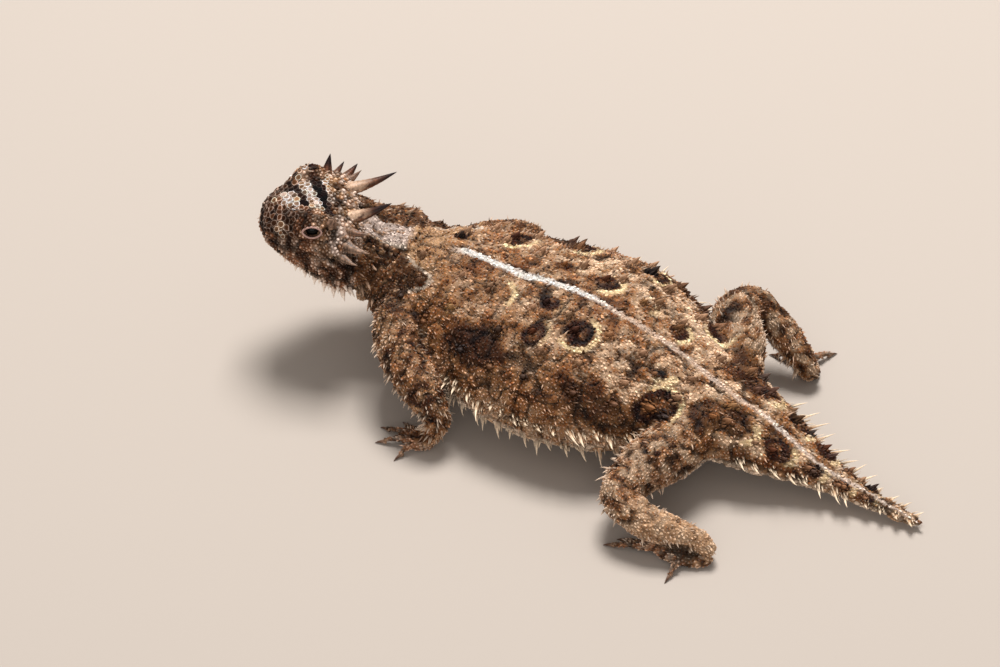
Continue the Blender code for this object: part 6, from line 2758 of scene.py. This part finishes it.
@dataclass(frozen=True)
class Horn:
    """A horn of the head, from its root to its tip in the head's frame."""

    name: str
    root: tuple[float, float, float]
    tip: tuple[float, float, float]
    radius: float
    dark: float = 0.5  # the share of its length at which it turns dark
    dusty: float = 0.0  # how far it is covered in pale dust
    pale_top: float = 0.0  # how much paler the top of its root is, in blotches
    # root, middle and tip
    tones: ClassVar[tuple[Array, ...]] = (srgb(150, 114, 88), srgb(108, 64, 42), srgb(38, 18, 16))
    dust: ClassVar[Array] = srgb(176, 144, 122)
    pale: ClassVar[Array] = srgb(206, 172, 144)

    def shell(self, head: Head, seed: int, rings: int = 30, sides: int = 28) -> Shell:
        """The horn, ridged lengthwise and ringed across, sagging a little.

        Args:
            head: What it grows on.
            seed: Shifts its ridges.
            rings: Steps along it.
            sides: Steps round it.

        Returns:
            The horn, with its colours.
        """
        root, tip = head.point(*self.root), head.point(*self.tip)
        length = np.linalg.norm(tip - root)
        heading = unit(tip - root)
        across = unit(np.cross(heading, head.axes[2]))
        over = np.cross(across, heading)
        rows, tints = [], []
        a = turn(sides)
        dusts = (self.dust * share for share in (0.5, 0.8, 1.2))
        base, middle, end = (tone + (dust - tone) * self.dusty for tone, dust in zip(self.tones, dusts))
        for share in np.concatenate([[-self.radius / length], np.linspace(0.0, 0.985, rings)]):
            s = max(share, 0.0)
            centre = root + (tip - root) * share - head.axes[2] * 0.05 * math.sin(s * math.pi) * length
            size = self.radius * 0.97 * (1 - s) ** (0.8 + 0.35 * self.dusty)
            ridges = 1 + 0.05 * np.cos(a * 5 + seed) * (1 - s) + 0.03 * np.cos(a * 11 + seed * 2)
            grown = 1 - 0.035 * (1 + math.sin(s * 52 + seed)) * (1 - s) ** 0.5
            c, d = np.cos(a) * ridges * grown, np.sin(a) * ridges * grown
            ring = c[:, None] * across + d[:, None] * over
            rough = grain(centre + ring * size, 0.45, 61)[:, None] - 0.5
            ring *= 1 + (0.06 + 0.34 * self.dusty) * rough
            rows.append(centre + ring * size)
            streak = 0.75 + 0.3 * np.cos(a * 5 + seed) - 0.25 * math.sin(s * 52 + seed) * (1 - s)
            streak = np.clip(streak, 0.3, 1.1)[:, None] * (1 + (0.5 + self.dusty) * rough)
            early, late = step_up(s, 0.0, self.dark), step_up(s, self.dark, min(1.0, self.dark + 0.45))
            tint = ((base * (1 - early) + middle * early) * (1 - late) + end * late) * streak
            # the top of the root is paler, in blotches
            pale_top = self.pale_top * step_up(s, 0.62, 0.12) * step_up(np.sin(a) + 2 * rough[:, 0], -0.1, 0.6)
            tints.append(mixed(tint, (self.pale, pale_top)))
        made = loft(np.array(rows))
        made.points[-1] = tip
        made.colours = np.concatenate([np.array(tints).reshape(-1, 3), [base, end]])
        return made


HORNS = (
    Horn("occipital_horn_left", (0.9, 3.2, -0.7), (-4.4, 3.6, 4.1), 1.25, 0.3, 0.0, 0.9),
    Horn("occipital_horn_right", (0.9, -3.5, -0.4), (-5.7, -4.8, 3.7), 1.2, 0.45, 0.0, 0.7),
    Horn("temporal_horn_left_1", (1.3, 6.2, -1.0), (-1.2, 7.8, 0.3), 0.88, 0.6, 0.35),
    Horn("temporal_horn_left_2", (1.2, 8.2, -2.5), (-1.8, 10.9, -0.9), 1.05, 0.9, 0.8),
    Horn("temporal_horn_left_3", (2.4, 8.9, -4.0), (-0.4, 11.9, -3.0), 0.95, 0.9, 0.8),
    Horn("temporal_horn_right_1", (1.2, -6.1, -1.2), (-0.7, -7.1, 0.9), 0.9, 0.8, 0.6),
    Horn("temporal_horn_right_2", (1.2, -8.2, -2.4), (-0.4, -9.9, -0.3), 1.0, 0.5),
    Horn("temporal_horn_right_3", (3.2, -8.7, -3.8), (1.5, -11.2, -1.4), 0.95, 0.5),
    Horn("brow_horn_left", (4.6, 6.6, 0.1), (4.8, 8.0, 2.7), 1.0, 0.5, 0.6),
    Horn("brow_horn_right", (4.8, -6.6, -0.2), (4.9, -8.0, 2.3), 0.9, 0.1),
)


@dataclass
class Horns:
    """The ten horns of the head, each in the place of its solid."""

    head: Head
    shift: Array

    def build(self) -> None:
        """Makes every horn."""
        material = HornFinish("horn", roughness=0.42, streak_mm=0.3, contrast=0.35, bump_mm=0.09).material()
        for seed, horn in enumerate(HORNS):
            shell = horn.shell(self.head, seed)
            made = add_piece(f"{horn.name}_horny", shell, material, self.shift, smooth=True)
            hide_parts(horn.name)


@dataclass
class Claws:
    """A small curved claw at the end of every toe."""

    animal: Animal
    shift: Array
    base: ClassVar[Array] = srgb(140, 110, 88)
    tip: ClassVar[Array] = srgb(84, 58, 44)

    def build(self) -> None:
        """Makes the claws, one piece for each foot."""
        material, up = HornFinish("claw_horn", roughness=0.35).material(), np.array([0.0, 0.0, 1.0])
        for foot in self.animal.feet:
            rows = Spines(self.animal, sunk=0.7)
            for k in range(len(foot.toes)):
                middles, radii, out = foot.toe(k)
                root, lean = middles[-1] + out * 0.05 + up * 0.05, out * 0.6 - up * 0.8
                rows.add(root, out + up * 0.12, lean, foot.claw_length, radii[-1] * 0.62, self.base, self.tip)
            shell = rows.shell(10, 9)
            add_piece(f"claws_{foot.name}", shell, material, self.shift, smooth=True)


@dataclass
class Eyes:
    """Dark wet eyes deep between their lids, and the lids' pale rims."""

    head: Head
    shift: Array
    white: ClassVar[Array] = srgb(52, 36, 28)
    iris: ClassVar[Array] = srgb(44, 27, 18)
    pupil: ClassVar[Array] = srgb(5, 4, 4)
    lid: ClassVar[Array] = srgb(190, 152, 140)
    share: float = 0.93  # the ball's radius as a share of its solid's
    pupil_edge: tuple[float, float] = (33, 27)  # where it turns black, in degrees from the ball's front
    iris_edge: tuple[float, float] = (56, 50)
    rim_size: float = 0.98  # of the rim, as a share of the opening's
    rim_radius: float = 0.16

    def ball(self, side: int) -> Shell:
        """The eyeball, with a black pupil in a very dark iris.

        Args:
            side: 1 for the left, -1 for the right.

        Returns:
            The ball, with its colours.
        """
        centre, axes = self.head.eye_frame(side)
        made = ellipsoid(centre, axes, (self.head.eye_radius * self.share,) * 3, rings=40, sides=48)
        front = unit(made.points - centre) @ axes[0]
        pupil, iris = (
            step_up(front, *(math.cos(math.radians(edge)) for edge in edges))
            for edges in (self.pupil_edge, self.iris_edge)
        )
        made.colours = mixed(self.white, (self.iris, iris), (self.pupil, pupil))
        return made

    def rim(self, side: int, size: float, radius: float, sides: int = 10, steps: int = 72) -> Shell:
        """A soft edge along the opening between the lids.

        Args:
            side: 1 for the left eye, -1 for the right.
            size: The outline's size as a share of the opening's.
            radius: The edge's own radius.
            sides: Steps round the edge.
            steps: Steps along it.

        Returns:
            The edge as a closed ring.
        """
        centre, (out, forward, top) = self.head.eye_frame(side)
        long, tall = np.array(self.head.opening) / 2 * size
        a = turn(steps)
        along = np.cos(a) * long
        high = np.sign(np.sin(a)) * np.abs(np.sin(a)) ** 1.3 * tall
        reach = np.array(self.head.lid_reach) - 0.15
        lift = reach[0] * np.sqrt(np.clip(1 - (along / reach[1]) ** 2 - (high / reach[2]) ** 2, 0, 1))
        path = centre + np.outer(along, forward) + np.outer(high, top) + np.outer(lift - 0.12, out)
        ahead = unit(np.roll(path, -1, 0) - np.roll(path, 1, 0))
        up = unit(path - centre)
        aside = np.cross(ahead, up)
        points = (path[:, None] + spokes(turn(sides), aside, up) * radius).reshape(-1, 3)
        k, j = np.meshgrid(np.arange(steps), np.arange(sides), indexing="ij")
        p, q = (k * sides + j).ravel(), (k * sides + (j + 1) % sides).ravel()
        r, s = ((k + 1) % steps * sides + j).ravel(), ((k + 1) % steps * sides + (j + 1) % sides).ravel()
        made = Shell(points, np.concatenate([np.stack([p, q, s], 1), np.stack([p, s, r], 1)]))
        made.colours = self.lid * (0.85 + 0.3 * grain(points, 0.4, 3))[:, None]
        return outwards(made)

    def build(self) -> None:
        """The eyes and their rims."""
        wet, soft = EyeFinish().material(), ScalyFinish("lid_rim", roughness=0.5, contrast=0.12).material()
        for side, name in ((1, "left"), (-1, "right")):
            ball = add_piece(f"eyeball_{name}", self.ball(side), wet, self.shift, smooth=True)
            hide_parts(f"eye_{name}")
            rim = self.rim(side, self.rim_size, self.rim_radius)
            add_piece(f"lid_rim_{name}", rim, soft, self.shift, smooth=True)


# ---------------------------------------------------------------- studio and main


@dataclass(frozen=True)
class Studio:
    """The camera at the photograph's angle, a pale floor and soft light."""

    target: tuple[float, float, float] = (-81.9, 2.6, 5.0)
    azimuth: float = 31.0
    elevation: float = 40.0
    distance: float = 0.80
    lens: float = 178.56
    floor_size: float = 3.0
    sky: float = 0.42
    sky_colour: tuple[float, float, float, float] = (1.0, 0.98, 0.96, 1.0)
    # name, place, size and power of each light, in metres and watts
    lamps: tuple[tuple, ...] = (
        ("key", (-0.15, 0.30, 0.78), 0.32, 10.5),
        ("fill", (0.4, -0.9, 0.4), 0.8, 3.0),
    )

    def camera(self, shift: Array) -> None:
        """The camera.

        Args:
            shift: From the animal's coordinates to the row frame, in millimetres.
        """
        a, e = math.radians(self.azimuth), math.radians(self.elevation)
        back = Vector((math.sin(a) * math.cos(e), -math.cos(a) * math.cos(e), math.sin(e)))
        data = bpy.data.cameras.new("camera")
        data.sensor_width = 36.0
        data.lens = self.lens
        target = Vector((np.array(self.target) + shift) * MM)
        bpy.context.scene.camera = self.aimed("camera", data, target + back * self.distance, back)

    @staticmethod
    def aimed(name: str, data: bpy.types.ID, place: Vector, back: Vector) -> bpy.types.Object:
        """A camera or light at a place, with its back turned to a direction.

        Args:
            name: Its name.
            data: The camera or light.
            place: Its place.
            back: The direction.

        Returns:
            The object.
        """
        made = placed(name, data)
        made.matrix_world = Matrix.Translation(place) @ back.to_track_quat("Z", "Y").to_matrix().to_4x4()
        return made

    def floor(self) -> None:
        """The floor."""
        half = self.floor_size / 2
        mesh = bpy.data.meshes.new("floor")
        corners = [(-half, -half, 0), (half, -half, 0), (half, half, 0), (-half, half, 0)]
        mesh.from_pydata(corners, [], [(0, 1, 2, 3)])
        mesh.materials.append(FloorFinish().material())
        placed("floor", mesh)

    def lights(self) -> None:
        """A broad light above, a softer one from the left, and a pale surround."""
        world = bpy.data.worlds.new("surround")
        world.use_nodes = True
        inputs = world.node_tree.nodes["Background"].inputs
        inputs["Color"].default_value = self.sky_colour
        inputs["Strength"].default_value = self.sky
        bpy.context.scene.world = world
        for name, place, size, power in self.lamps:
            data = bpy.data.lights.new(name, "AREA")
            data.size, data.energy = size, power
            self.aimed(name, data, Vector(place), Vector(place))

    def build(self, shift: Array) -> None:
        """All of the studio.

        Args:
            shift: From the animal's coordinates to the row frame, in millimetres.
        """
        self.camera(shift)
        self.floor()
        self.lights()
        bpy.context.scene.view_settings.view_transform = "Standard"


def frame_shift(head: Head) -> Array:
    """From the animal's coordinates to the row frame, in millimetres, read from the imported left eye.

    Args:
        head: The animal's head.

    Returns:
        The shift, which is 0 upwards.
    """
    low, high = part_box("eye_left")
    found = (np.array(low) + np.array(high)) / 2 / MM
    shift = found - head.eye_frame(1)[0]
    shift[2] = 0.0
    return shift


FLESH = ["head", "neck", "torso", "tail_base", "tail_tip"]


def main() -> None:
    """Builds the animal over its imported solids."""
    logging.basicConfig(level=logging.INFO, format="%(message)s", stream=sys.stdout)
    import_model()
    animal = Animal()
    shift = frame_shift(animal.head)
    LOG.info("shift to the row frame: %s mm", np.round(shift, 3))
    Studio().build(shift)
    markings = Markings(animal)
    skin = Skin(animal)
    skin.model()
    piece = skin.dress(markings, shift)
    limb_nodes = [f"{limb.name}_{name}" for limb in animal.limbs for name in limb.pieces]
    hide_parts(*FLESH, *limb_nodes)
    coat = ScaleCoat(animal, skin, markings)
    coat.build(shift)
    Armour(animal, markings, shift).build(coat.small)
    Horns(animal.head, shift).build()
    Claws(animal, shift).build()
    Eyes(animal.head, shift).build()


if __name__ == "__main__":
    main()
